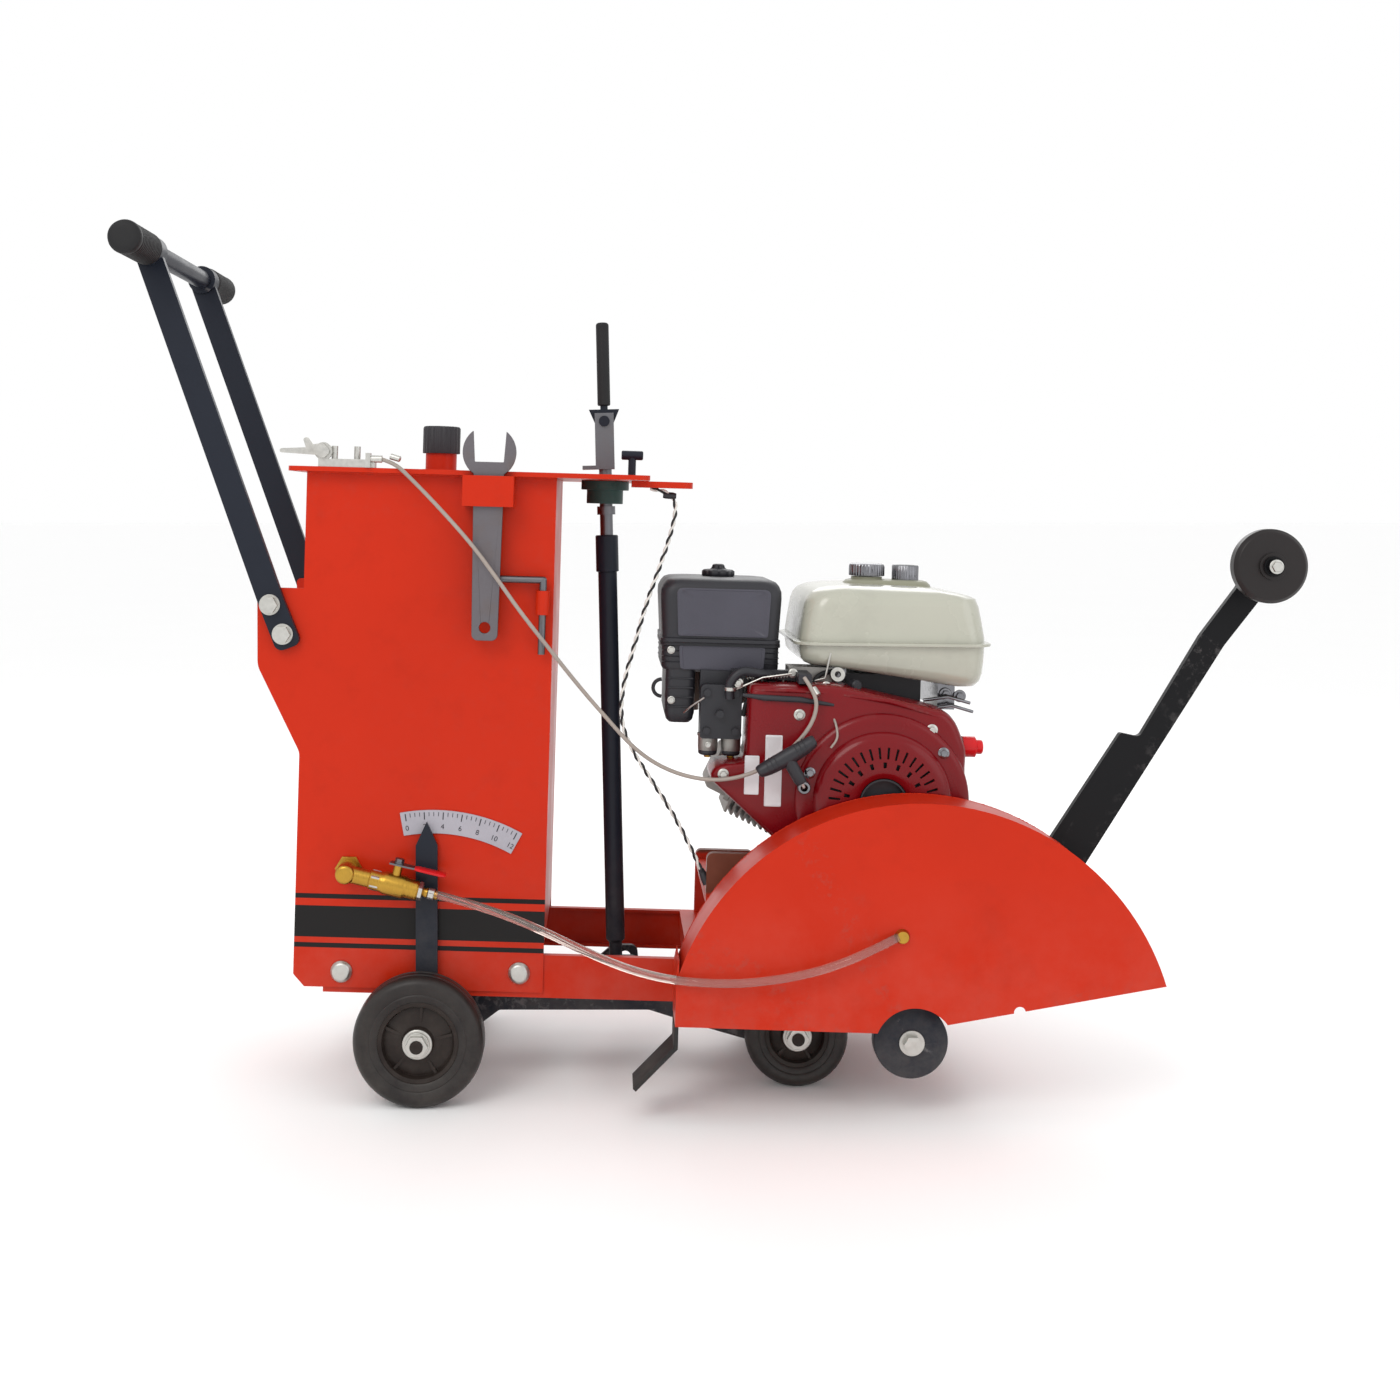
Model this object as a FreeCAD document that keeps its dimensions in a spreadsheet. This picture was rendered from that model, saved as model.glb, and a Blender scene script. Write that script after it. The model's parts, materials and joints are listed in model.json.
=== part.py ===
"""Walk-behind concrete saw, millimetres, +X forward, +Y to the operator's left, +Z up.

The carriage (axles, wheels, pointer) is level. The main frame carries the tank, engine, guard and
handles and leans nose-down about the tilt pivot, so its parts are drawn level and placed by LEAN.
"""
import FreeCAD, Part
import Sketcher
import math
import os

Vector = FreeCAD.Vector
X_AXIS = Vector(1, 0, 0)
Y_AXIS = Vector(0, 1, 0)
Z_AXIS = Vector(0, 0, 1)

doc = FreeCAD.newDocument("concrete_saw")
sheet = doc.addObject("Spreadsheet::Sheet", "dims")

DIMENSIONS = [
    ("tilt_rest", 1.6, "nose-down lean of the main frame at rest, degrees"),
    ("pivot_x", -341.0, "tilt pivot, forward position"),
    ("pivot_z", 125.0, "tilt pivot, height"),
    ("sheet_metal", 3.0, "wall of the tank and the guard"),
    ("tank_rear", -515.0, "rear face of the tank"),
    ("tank_front", -204.0, "front face of the tank"),
    ("tank_half", 135.0, "half width over the tank side panels"),
    ("tank_floor", 190.0, "underside of the tank floor"),
    ("tank_top", 770.0, "top edge of the tank"),
    ("panel_foot", 129.0, "lower edge of the side panels"),
    ("plate_thick", 6.0, "tank top plate"),
    ("plate_half", 152.0, "half width of the tank top plate"),
    ("rail_low", 122.0, "underside of the frame rails"),
    ("rail_height", 53.0, "height of the frame rails"),
    ("rail_web", 4.0, "web of the frame rails"),
    ("rail_flange", 10.0, "flange width of the frame rails"),
    ("rail_front", 345.0, "front end of the frame rails"),
    ("bed_thick", 6.0, "engine bed plate"),
    ("bed_top", 250.0, "top of the engine bed"),
    ("arm_thick", 10.0, "handle arm flat bar"),
    ("bar_radius", 12.5, "handle bar tube"),
    ("grip_radius", 20.5, "handle grips"),
    ("handle_half", 256.0, "half width over the grips"),
    ("guard_radius", 302.0, "blade guard"),
    ("guard_outer", -250.0, "outer face of the guard"),
    ("guard_depth", 73.0, "guard width across the blade"),
    ("arbor_x", 239.7, "blade shaft, forward position"),
    ("arbor_z", 108.2, "blade shaft, height"),
    ("arbor_radius", 12.7, "blade seat on the shaft"),
    ("shaft_radius", 13.2, "blade shaft in its bearings"),
    ("flange_radius", 44.5, "blade flanges"),
    ("flange_seat", 12.5, "seat of the loose flange on the shaft"),
    ("crank_x", 208.0, "engine crankshaft, forward position"),
    ("crank_z", 383.0, "engine crankshaft, height"),
    ("cover_radius", 108.0, "engine fan cover"),
    ("drive_radius", 45.0, "engine pulley at the belt seat"),
    ("driven_radius", 38.0, "blade shaft pulley at the belt seat"),
    ("rear_axle_x", -353.0, "rear axle"),
    ("rear_wheel", 80.0, "rear wheel radius"),
    ("front_axle_x", 115.0, "front axle"),
    ("front_wheel", 65.0, "front wheel radius"),
    ("axle_radius", 10.0, "both axles"),
    ("running_gap", 0.05, "radial clearance of every turning fit"),
    ("screw_radius", 8.5, "jack screw"),
    ("jack_tube_radius", 12.5, "jack tube"),
    ("jack_lean", 2.84, "lean of the jack in the main frame, degrees"),
    ("roller_radius", 44.5, "guide roller on the front pointer arm"),
    ("scale_inner", 199.0, "depth scale, inner radius about the tilt pivot"),
    ("scale_outer", 228.0, "depth scale, outer radius"),
]
size = {}
for line, (alias, value, note) in enumerate(DIMENSIONS, start=1):
    sheet.set(f"A{line}", note)
    sheet.set(f"B{line}", str(value))
    sheet.setAlias(f"B{line}", alias)
    size[alias] = value
doc.recompute()

PIVOT = Vector(size["pivot_x"], 0, size["pivot_z"])
LEAN = FreeCAD.Placement(Vector(), FreeCAD.Rotation(Y_AXIS, size["tilt_rest"]), PIVOT)
LEVEL = FreeCAD.Placement()
nodes = []


# ---------------------------------------------------------------- helpers
def value_of(entry):
    """A number, or the number that a sheet alias (or minus an alias) holds."""
    if not isinstance(entry, str):
        return float(entry)
    if entry.startswith("-"):
        return -size[entry[1:]]
    return size[entry]


def formula(entry):
    return f"-dims.{entry[1:]}" if entry.startswith("-") else f"dims.{entry}"


def bind(feature, **sizes):
    """Set each property, and tie it to the sheet where the size is an alias."""
    for name, entry in sizes.items():
        setattr(feature, name, value_of(entry))
        if isinstance(entry, str):
            feature.setExpression(name, formula(entry))
    return feature


def box(corner, length, width, height):
    feature = doc.addObject("Part::Box", "box")
    bind(feature, Length=length, Width=width, Height=height)
    feature.Placement.Base = Vector(*[value_of(c) for c in corner])
    return feature


def rod(radius, length, base, axis=Y_AXIS):
    feature = doc.addObject("Part::Cylinder", "rod")
    bind(feature, Radius=radius, Height=length)
    feature.Placement = FreeCAD.Placement(Vector(*base), FreeCAD.Rotation(Z_AXIS, axis))
    return feature


def joined(*pieces):
    feature = doc.addObject("Part::MultiFuse", "joined")
    feature.Shapes = list(pieces)
    return feature


def group(*pieces):
    feature = doc.addObject("Part::Compound", "group")
    feature.Links = list(pieces)
    return feature


def cut(base, *tools):
    feature = doc.addObject("Part::Cut", "cut")
    feature.Base = base
    feature.Tool = tools[0] if len(tools) == 1 else joined(*tools)
    return feature


def moved(feature, placement):
    feature.Placement = placement * feature.Placement
    return feature


def node(name, feature, placement=LEAN):
    """Name a finished sub-part and put it in its place on the machine."""
    feature.Label = name
    feature.Placement = placement * feature.Placement
    nodes.append(feature)
    return feature


def corner_arc(before, corner, after, radius):
    """The two tangent points and the middle of the arc that rounds a corner of an outline."""
    back = (before - corner).normalize()
    ahead = (after - corner).normalize()
    half = back.getAngle(ahead) / 2
    reach = radius / math.tan(half)
    middle_way = (back + ahead).normalize()
    middle = corner + middle_way * (radius / math.sin(half) - radius)
    return corner + back * reach, middle, corner + ahead * reach


def draw(sketch, outline):
    """Closed outline of (x, y) or (x, y, corner radius); an alias entry ties its point to the sheet."""
    points = [Vector(value_of(p[0]), value_of(p[1]), 0) for p in outline]
    count = len(points)
    ends = []
    for i, entry in enumerate(outline):
        if len(entry) == 3:
            ends.append(corner_arc(points[i - 1], points[i], points[(i + 1) % count], entry[2]))
        else:
            ends.append((points[i], None, points[i]))
    for i, entry in enumerate(outline):
        start, middle, stop = ends[i]
        if middle is not None:
            sketch.addGeometry(Part.Arc(start, middle, stop), False)
        following = ends[(i + 1) % count][0]
        if stop.distanceToPoint(following) > 1e-6:
            edge = sketch.addGeometry(Part.LineSegment(stop, following), False)
            for kind, ordinate in (("DistanceX", entry[0]), ("DistanceY", entry[1])):
                if middle is None and isinstance(ordinate, str):
                    tie = sketch.addConstraint(
                        Sketcher.Constraint(kind, -1, 1, edge, 1, value_of(ordinate))
                    )
                    sketch.setExpression(f"Constraints[{tie}]", formula(ordinate))


def new_sketch(body, role, lift=0.0):
    sketch = body.newObject("Sketcher::SketchObject", "profile")
    plane = [f for f in body.Origin.OriginFeatures if f.Role == role][0]
    sketch.AttachmentSupport = [(plane, "")]
    sketch.MapMode = "FlatFace"
    sketch.AttachmentOffset = FreeCAD.Placement(Vector(0, 0, lift), FreeCAD.Rotation())
    return sketch


def plate(outline, thickness, near, *holes):
    """Plate in the X-Z plane from Y = near towards +Y, with round holes (x, z, radius)."""
    body = doc.addObject("PartDesign::Body", "plate")
    sketch = new_sketch(body, "XZ_Plane", -near)
    draw(sketch, outline)
    for x, z, radius in holes:
        sketch.addGeometry(Part.Circle(Vector(x, z, 0), Z_AXIS, value_of(radius)), False)
    pad = body.newObject("PartDesign::Pad", "pad")
    pad.Profile = sketch
    bind(pad, Length=thickness)
    pad.Reversed = True
    return body


def flat(outline, thickness, low):
    """Plate in the X-Y plane from Z = low upwards."""
    body = doc.addObject("PartDesign::Body", "flat")
    sketch = new_sketch(body, "XY_Plane", low)
    draw(sketch, outline)
    pad = body.newObject("PartDesign::Pad", "pad")
    pad.Profile = sketch
    bind(pad, Length=thickness)
    return body


def turned(outline, centre=(0, 0, 0), axis=Y_AXIS):
    """Body of revolution: outline of (radius, distance along the axis) from the centre."""
    body = doc.addObject("PartDesign::Body", "turned")
    sketch = new_sketch(body, "XZ_Plane")
    draw(sketch, outline)
    turn = body.newObject("PartDesign::Revolution", "revolution")
    turn.Profile = sketch
    turn.ReferenceAxis = (sketch, ["V_Axis"])
    turn.Angle = 360.0
    body.Placement = FreeCAD.Placement(Vector(*centre), FreeCAD.Rotation(Z_AXIS, axis))
    return body


def both_sides(maker):
    """The same piece on the near (-1) and the far (+1) side."""
    return [maker(-1), maker(1)]


def slab(side, inner, thickness):
    """Lower Y of a layer that starts at distance inner from the middle, on either side."""
    return inner if side > 0 else -inner - thickness


def cord_tube(route, diameter):
    """Tube along straight runs joined by tangent arcs, each as large as its two runs allow."""
    points = [Vector(*p) for p in route]
    edges = []
    radii = []
    start = points[0]
    for before, corner, after in zip(points, points[1:], points[2:]):
        back = (before - corner).normalize()
        ahead = (after - corner).normalize()
        half = back.getAngle(ahead) / 2
        reach = 0.45 * min((before - corner).Length, (after - corner).Length)
        radius = reach * math.tan(half)
        middle = corner + (back + ahead).normalize() * (radius / math.sin(half) - radius)
        edges.append(Part.LineSegment(start, corner + back * reach).toShape())
        edges.append(Part.Arc(corner + back * reach, middle, corner + ahead * reach).toShape())
        radii.append(radius)
        start = corner + ahead * reach
    edges.append(Part.LineSegment(start, points[-1]).toShape())
    path = Part.Wire(edges)
    ring = Part.Circle(points[0], points[1] - points[0], diameter / 2)
    tube = path.makePipeShell([Part.Wire([ring.toShape()])], True, False)
    section = math.pi * diameter ** 2 / 4
    print(f"length {path.Length:.0f}, smallest arc {min(radii):.0f}, "
          f"volume ratio {tube.Volume / (section * path.Length):.4f}")
    return tube


def cord(name, route, diameter):
    feature = doc.addObject("Part::Feature", name)
    feature.Shape = cord_tube(route, diameter)
    return node(name, feature, LEVEL)


# ---------------------------------------------------------------- frame and tank
HALF = size["tank_half"]
WALL = size["sheet_metal"]
RAIL_OUT = HALF - WALL - 0.1
RAIL_TOP = size["rail_low"] + size["rail_height"]
RAIL_REAR = -478.0
RAIL_LONG = size["rail_front"] - RAIL_REAR
LUG_INNER = 74.0
LUG_THICK = 10.0
PIVOT_X, PIVOT_Z = size["pivot_x"], size["pivot_z"]
FOLD_X, FOLD_Z = 335.0, 164.0


def frame_rails():
    low = size["rail_low"]

    def rail(side):
        web = box((RAIL_REAR, slab(side, RAIL_OUT - 4.0, 4.0), low), RAIL_LONG, "rail_web", "rail_height")
        flange_near = slab(side, RAIL_OUT - 10.0, 10.0)
        foot = box((RAIL_REAR, flange_near, low), RAIL_LONG, "rail_flange", "rail_web")
        head = box((RAIL_REAR, flange_near, RAIL_TOP - 4.0), RAIL_LONG, "rail_flange", "rail_web")
        return joined(web, foot, head)

    def lug(side):
        outline = [(-371, 180), (-371, 112, 20), (-311, 112, 20), (-311, 180)]
        return plate(outline, LUG_THICK, slab(side, LUG_INNER, LUG_THICK),
                     (PIVOT_X, PIVOT_Z, size["axle_radius"] + size["running_gap"]))

    wide = 2 * (RAIL_OUT - 4.0)
    rear_beam = box((-470, -wide / 2, 132), 30, wide, 38)
    pivot_beam = box((-371, -wide / 2, 168), 60, wide, 20)
    middle_beam = box((-24, -wide / 2, 146), 40, wide, 29)
    nose_beam = box((305, -wide / 2, 126), 36, wide, 49)
    pivot = [rod(8, 41, (FOLD_X, -172.0, FOLD_Z)), rod(13, 5, (FOLD_X, -172.0, FOLD_Z))]
    parts = both_sides(rail) + both_sides(lug) + pivot
    node("frame_rails", joined(*parts, rear_beam, pivot_beam, middle_beam, nose_beam))


def engine_bed():
    wide = 2 * (RAIL_OUT - 12.0)
    bed = box((-4, -wide / 2, size["bed_top"] - 6.0), 349, wide, "bed_thick")
    ledge = size["bed_top"] - 6.0 - RAIL_TOP

    def rear_cheek(side):
        top = 308 if side < 0 else 262
        return plate([(-4, RAIL_TOP), (76, RAIL_TOP), (76, top, 8), (-4, top, 8)], 12.0,
                     slab(side, RAIL_OUT - 12.0, 12.0))

    def front_cheek(side):
        return plate([(265, RAIL_TOP), (345, RAIL_TOP), (345, 250), (285, 250)], 12.0,
                     slab(side, RAIL_OUT - 12.0, 12.0))

    web = box((20, -wide / 2, RAIL_TOP), 8, wide, ledge)
    node("engine_bed", joined(bed, web, *both_sides(rear_cheek), *both_sides(front_cheek)))


def tank_housing():
    rear, front, top = size["tank_rear"], size["tank_front"], size["tank_top"]
    inner = HALF - WALL

    def panel(side):
        outline = [("tank_front", "panel_foot"), ("tank_front", "tank_top"), ("tank_rear", "tank_top"),
                   (rear, 624), (-573, 624, 6), (-570, 526, 30), (rear, 420, 20), (rear, 144, 4),
                   (-501, "panel_foot")]
        return plate(outline, "sheet_metal", slab(side, inner, WALL))

    floor = box((rear, -inner, size["tank_floor"]), front - rear, 2 * inner, "sheet_metal")
    height = top - size["tank_floor"] - WALL
    back = box((rear, -inner, size["tank_floor"] + WALL), "sheet_metal", 2 * inner, height)
    face = box((front - WALL, -inner, size["tank_floor"] + WALL), "sheet_metal", 2 * inner, height)
    node("tank_housing", joined(*both_sides(panel), floor, back, face))


NECK_X = -362.0
JACK_TOP_X = -144.1
PLATE_TOP = size["tank_top"] + size["plate_thick"]


def tank_top_plate():
    half = size["plate_half"]
    top = flat([(-537, -half, 12), (-88, -half, 12), (-88, half, 12), (-537, half, 12)],
               "plate_thick", size["tank_top"])
    finger = flat([(-110, -75), (-31, -75, 14.5), (-31, -45, 14.5), (-110, -45)], 8.0,
                  size["tank_top"] - 8.0)
    neck = rod(20.5, 44, (NECK_X, 0, PLATE_TOP), Z_AXIS)
    bead = rod(25.0, 3, (NECK_X, 0, PLATE_TOP), Z_AXIS)
    mouth = rod(17.0, 60, (NECK_X, 0, size["tank_top"] - 5), Z_AXIS)
    screw_hole = rod(14.0, 20, (JACK_TOP_X, 0, size["tank_top"] - 5), Z_AXIS)
    node("tank_top_plate", cut(joined(top, finger, neck, bead), mouth, screw_hole))


ARM_INNER = HALF
KNOB_X, KNOB_Y = -110.0, -60.0
BAR_X, BAR_Z = -717.0, 1038.0


def handle():
    def arm(side):
        near = slab(side, ARM_INNER, size["arm_thick"])
        outline = [(-544.5, 544, 10), (-514.5, 556, 10), (-538, 610, 60), (-702, 1036), (-732, 1025),
                   (-568, 600, 60)]
        bar = plate(outline, "arm_thick", near)
        boss = rod(19, 26, (BAR_X, slab(side, ARM_INNER - 8, 26), BAR_Z))
        hole = rod("bar_radius", 60, (BAR_X, slab(side, ARM_INNER - 20, 60), BAR_Z))
        return cut(joined(bar, boss), hole)

    radius = size["bar_radius"]
    outline = [(radius - 2.5, -250), (radius, -250), (radius, 250), (radius - 2.5, 250)]
    node("handle_frame", group(turned(outline, (BAR_X, 0, BAR_Z)), *both_sides(arm)))

    def grip(side):
        length = size["handle_half"] - 153.0
        shape = [(radius, 0), ("grip_radius", 0), (size["grip_radius"], length, 7), (0, length),
                 (0, length - 6), (radius, length - 6)]
        axis = Vector(0, side, 0)
        return turned(shape, (BAR_X, side * 153.0, BAR_Z), axis)

    node("handle_grips", group(*both_sides(grip)))


def dome_bolt(x, z, side, reach, radius=13.5):
    shape = [(0, 0), (radius, 0), (radius, 2.5), (radius * 0.75, 6.5, 4), (0, 7.5)]
    return turned(shape, (x, side * reach, z), Vector(0, side, 0))


def hex_bolt(centre, axis, across=19.0, height=8.0, washer=13.0):
    ring = rod(washer, 2.0, centre, axis)
    head = doc.addObject("Part::Prism", "hexagon")
    head.Polygon = 6
    head.Circumradius = across / math.sqrt(3)
    head.Height = height
    start = Vector(*centre) + Vector(axis) * 2.0
    head.Placement = FreeCAD.Placement(start, FreeCAD.Rotation(Z_AXIS, axis))
    return joined(ring, head)


def frame_bolts():
    pieces = []
    for side in (-1, 1):
        outward = Vector(0, side, 0)
        for x, z in ((-455, 149), (-234, 153)):
            pieces.append(dome_bolt(x, z, side, HALF))
        for x, z in ((-538, 567), (-555, 603)):
            pieces.append(hex_bolt((x, side * (HALF + size["arm_thick"]), z), outward))
    node("frame_bolts", group(*pieces))


def lock_knob():
    """Tee screw that clamps the jack setting."""
    stem = rod(5, 24, (KNOB_X, KNOB_Y, PLATE_TOP + 0.3), Z_AXIS)
    bar = turned([(0, -14), (6, -14, 2), (6, 14, 2), (0, 14)], (KNOB_X, KNOB_Y, PLATE_TOP + 27), X_AXIS)
    node("lock_knob", joined(stem, bar))


def arc_plate(inner, outer, start, stop, thickness, near):
    """Curved plate about the tilt pivot; angles in degrees from straight up towards +X."""
    ring = cut(rod(outer, thickness, (PIVOT_X, near, PIVOT_Z)),
               rod(inner, thickness * 3, (PIVOT_X, near - thickness, PIVOT_Z)))
    far = 2 * value_of(outer)
    tip = [(math.sin(math.radians(a)) * far, math.cos(math.radians(a)) * far) for a in (start, stop)]
    wedge = plate([(PIVOT_X, PIVOT_Z)] + [(PIVOT_X + x, PIVOT_Z + z) for x, z in tip], thickness, near)
    common = doc.addObject("Part::Common", "arc")
    common.Base = ring
    common.Tool = wedge
    return common


def depth_scale():
    node("depth_scale", arc_plate("scale_inner", "scale_outer", -11.8, 27.8, 2.0, -HALF - 2.0))


SPANNER_X = -287.0
KEY_X, KEY_Y = -217.0, -147.0


def tool_holders():
    strap_out = 170.0
    face = box((SPANNER_X - 31.5, -strap_out, 732), 63, 2.5, 38)
    tabs = [box((x, -strap_out + 2.5, 732), 4, strap_out - 2.5 - HALF, 38)
            for x in (SPANNER_X - 31.5, SPANNER_X + 27.5)]
    sleeve = cut(rod(8.5, 30, (KEY_X, KEY_Y, 600), Z_AXIS), rod(5.0, 60, (KEY_X, KEY_Y, 590), Z_AXIS))
    tab = cut(box((KEY_X - 4, KEY_Y, 603), 8, -HALF - KEY_Y, 24), rod(7.0, 60, (KEY_X, KEY_Y, 590), Z_AXIS))
    node("tool_holders", group(joined(face, *tabs), joined(sleeve, tab)))


# ---------------------------------------------------------------- water feed
ELBOW = Vector(-449, -162, 277)
VALVE_DIP = 12.0
NOZZLE = Vector(221, -256, 240)


def valve_place():
    return FreeCAD.Placement(ELBOW, FreeCAD.Rotation(Y_AXIS, VALVE_DIP))


def water_fittings():
    place = valve_place()
    inlet = rod(10.5, 22, (ELBOW.x, ELBOW.y, ELBOW.z))
    nut = hex_bolt((ELBOW.x, -HALF - 5.0, ELBOW.z), Y_AXIS, 30, 3, 15)
    corner = turned([(0, -13), (12, -13, 5), (12, 12, 3), (0, 12)], (ELBOW.x, ELBOW.y, ELBOW.z))
    outline = [(0, 4), (10.5, 4), (10.5, 30), (12, 31), (12, 44), (14, 50), (14, 72), (12, 78), (12, 90),
               (10.5, 92), (8.5, 92), (8.5, 97), (5, 98), (6.5, 103), (5, 104), (6.5, 109), (5, 110),
               (6, 116), (0, 116)]
    body = moved(turned(outline, (0, 0, 0), X_AXIS), place)
    stem = moved(rod(5.5, 17, (61, 0, 8), Z_AXIS), place)
    tip = turned([(0, 0), (7, 0), (9, 6), (0, 6)], (NOZZLE.x, NOZZLE.y, NOZZLE.z), Y_AXIS)
    node("water_fittings", group(joined(inlet, nut, corner, body, stem), tip))


def valve_handle():
    outline = [(50, -8), (72, -8), (84, -6), (118, -8, 3), (118, 8, 3), (84, 6), (72, 8), (50, 8, 6)]
    lever = flat(outline, 2.0, 25.1)
    nut = hex_bolt((61, 0, 27.1), Z_AXIS, 10, 4, 6)
    node("valve_handle", moved(joined(lever, nut), valve_place()))


# ---------------------------------------------------------------- blade guard and shaft
ARBOR = (size["arbor_x"], size["arbor_z"])
GUARD_X, GUARD_Z = 247.0, 95.0
GUARD_IN = size["guard_outer"] + size["guard_depth"]


def blade_guard():
    outer, depth = size["guard_outer"], size["guard_depth"]
    disc = rod("guard_radius", "guard_depth", (GUARD_X, outer, GUARD_Z))
    shell = size["guard_radius"] - WALL
    space = rod(shell, depth - 2 * WALL, (GUARD_X, outer + WALL, GUARD_Z))
    below = plate([(-90, -300), (-90, 190), (-43.4, 190), (-43.4, 126), (198, 125), (277.5, 137),
                   (700, 223.5), (700, -300)], depth + 20, outer - 10)
    shaft_gap = rod(47.5, depth + 20, (ARBOR[0], outer - 10, ARBOR[1]))
    drain = rod(7.0, 30, (362, outer - 10, 154))
    rear_wall = plate([(-43.4, 126), (-40.4, 126), (-40.4, 205), (-43.4, 190)], depth - 1, outer + 0.5)
    stay = [box((x, GUARD_IN, 131), 30, -RAIL_OUT - GUARD_IN, 34) for x in (70, 262)]
    node("blade_guard", joined(cut(disc, space, below, shaft_gap, drain), rear_wall, *stay))


def splash_flap():
    outline = [(-44, 124.5), (-44, 100), (-91, 50), (-87.4, 46.6), (-39, 98), (-39, 124.5)]
    node("splash_flap", plate(outline, 55.0, -245.0))


def arbor_bearings():
    bore = size["shaft_radius"] + size["running_gap"]

    def block(side):
        near = -127.0 if side < 0 else 97.0
        outline = [(200, 122), (200, 108, 4), (214, 84, 20), (265.4, 84, 20), (279.4, 108, 4), (279.4, 122)]
        return plate(outline, 30.0, near, (ARBOR[0], ARBOR[1], bore))

    node("arbor_bearings", group(*both_sides(block)))


SHAFT_END = -228.0


def blade_shaft():
    seat = size["arbor_radius"]
    wide = size["shaft_radius"]
    flange, neck = size["flange_radius"], size["flange_seat"]
    outline = [(0, -227), (neck, -227, 1), (neck, -217), (seat, -217), (seat, -213), (flange, -213, 2),
               (flange, -205, 2), (20, -205), (20, -192), (wide, -192), (wide, 220), (0, 220)]
    bar = turned(outline, (ARBOR[0], 0, ARBOR[1]))
    thread = rod(6.0, 32, (ARBOR[0], SHAFT_END, ARBOR[1]))
    node("blade_shaft", cut(bar, thread))
    bore = neck + size["running_gap"]
    loose = turned([(bore, 0), (flange, 0, 1), (flange, 6, 3), (30, 10), (bore, 10)],
                   (ARBOR[0], -217.2, ARBOR[1]), Vector(0, -1, 0))
    node("outer_flange", loose)
    centre = (ARBOR[0], SHAFT_END, ARBOR[1])
    head = hex_bolt(centre, Vector(0, -1, 0), 19.0, 9.0, 15.0)
    shank = rod(5.94, 24, (ARBOR[0], SHAFT_END, ARBOR[1]))
    node("arbor_bolt", joined(head, shank))


BELT_NEAR = 188.0
BELT_WIDE = 8.0
BELT_PITCH = 9.0


def pulley(radius, centre_x, centre_z, shaft):
    length = 3 * BELT_PITCH + 3
    rim = radius + 8
    outline = [(shaft, 0), (rim, 0), (rim, 3), (radius, 4.5), (radius, length + 1.5), (rim, length + 3),
               (rim, length + 6), (shaft, length + 6)]
    return turned(outline, (centre_x, BELT_NEAR - 5, centre_z))


def loop_outline(radius_a, radius_b):
    """Tangent points of an open belt round the engine pulley (a) and the shaft pulley (b)."""
    ax, az = size["crank_x"], size["crank_z"]
    bx, bz = ARBOR
    along = Vector(bx - ax, bz - az, 0)
    span = along.Length
    along.normalize()
    across = Vector(-along.y, along.x, 0)
    lean = math.asin((radius_a - radius_b) / span)
    points = []
    for sign in (1, -1):
        out = along * math.sin(lean) + across * (sign * math.cos(lean))
        points.append((Vector(ax, az, 0) + out * radius_a, Vector(bx, bz, 0) + out * radius_b))
    far_a = Vector(ax, az, 0) - along * radius_a
    far_b = Vector(bx, bz, 0) + along * radius_b
    return points[0], points[1], far_a, far_b


def draw_loop(sketch, radius_a, radius_b):
    (a_one, b_one), (a_two, b_two), far_a, far_b = loop_outline(radius_a, radius_b)
    sketch.addGeometry(Part.LineSegment(a_one, b_one), False)
    sketch.addGeometry(Part.Arc(b_one, far_b, b_two), False)
    sketch.addGeometry(Part.LineSegment(b_two, a_two), False)
    sketch.addGeometry(Part.Arc(a_two, far_a, a_one), False)


def loop_plate(radii, thickness, near, inner=None):
    body = doc.addObject("PartDesign::Body", "loop")
    sketch = new_sketch(body, "XZ_Plane", -near)
    draw_loop(sketch, *radii)
    if inner is not None:
        draw_loop(sketch, *inner)
    pad = body.newObject("PartDesign::Pad", "pad")
    pad.Profile = sketch
    bind(pad, Length=thickness)
    pad.Reversed = True
    return body


def belt_drive():
    drive, driven = size["drive_radius"], size["driven_radius"]
    node("driven_pulley", pulley(driven, ARBOR[0], ARBOR[1], size["shaft_radius"]))
    gap = 0.4
    belts = [loop_plate((drive + 7, driven + 7), BELT_WIDE, BELT_NEAR + i * BELT_PITCH,
                        (drive + gap, driven + gap)) for i in range(3)]
    node("drive_belts", group(*belts))
    near, far = 168.0, 232.0
    cover = loop_plate((66, 54), far - near, near)
    space = loop_plate((63, 51), far - near - WALL + 1, near - 1)
    back = cut(loop_plate((66, 54), WALL, near - WALL),
               rod(22, 40, (ARBOR[0], near - 20, ARBOR[1])),
               rod(22, 40, (size["crank_x"], near - 20, size["crank_z"])))
    stay = box((205, RAIL_OUT, 132), 60, near - WALL - RAIL_OUT, 32)
    node("belt_guard", group(cut(cover, space), joined(back, stay)))


# ---------------------------------------------------------------- engine
CRANK = (size["crank_x"], size["crank_z"])
COVER_FRONT = -160.0
CRANK_RADIUS = 12.0
COVER_BACK = -72.0
HEAD_PLACE = FreeCAD.Placement(Vector(118, 0, 352), FreeCAD.Rotation(Y_AXIS, 25))


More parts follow.
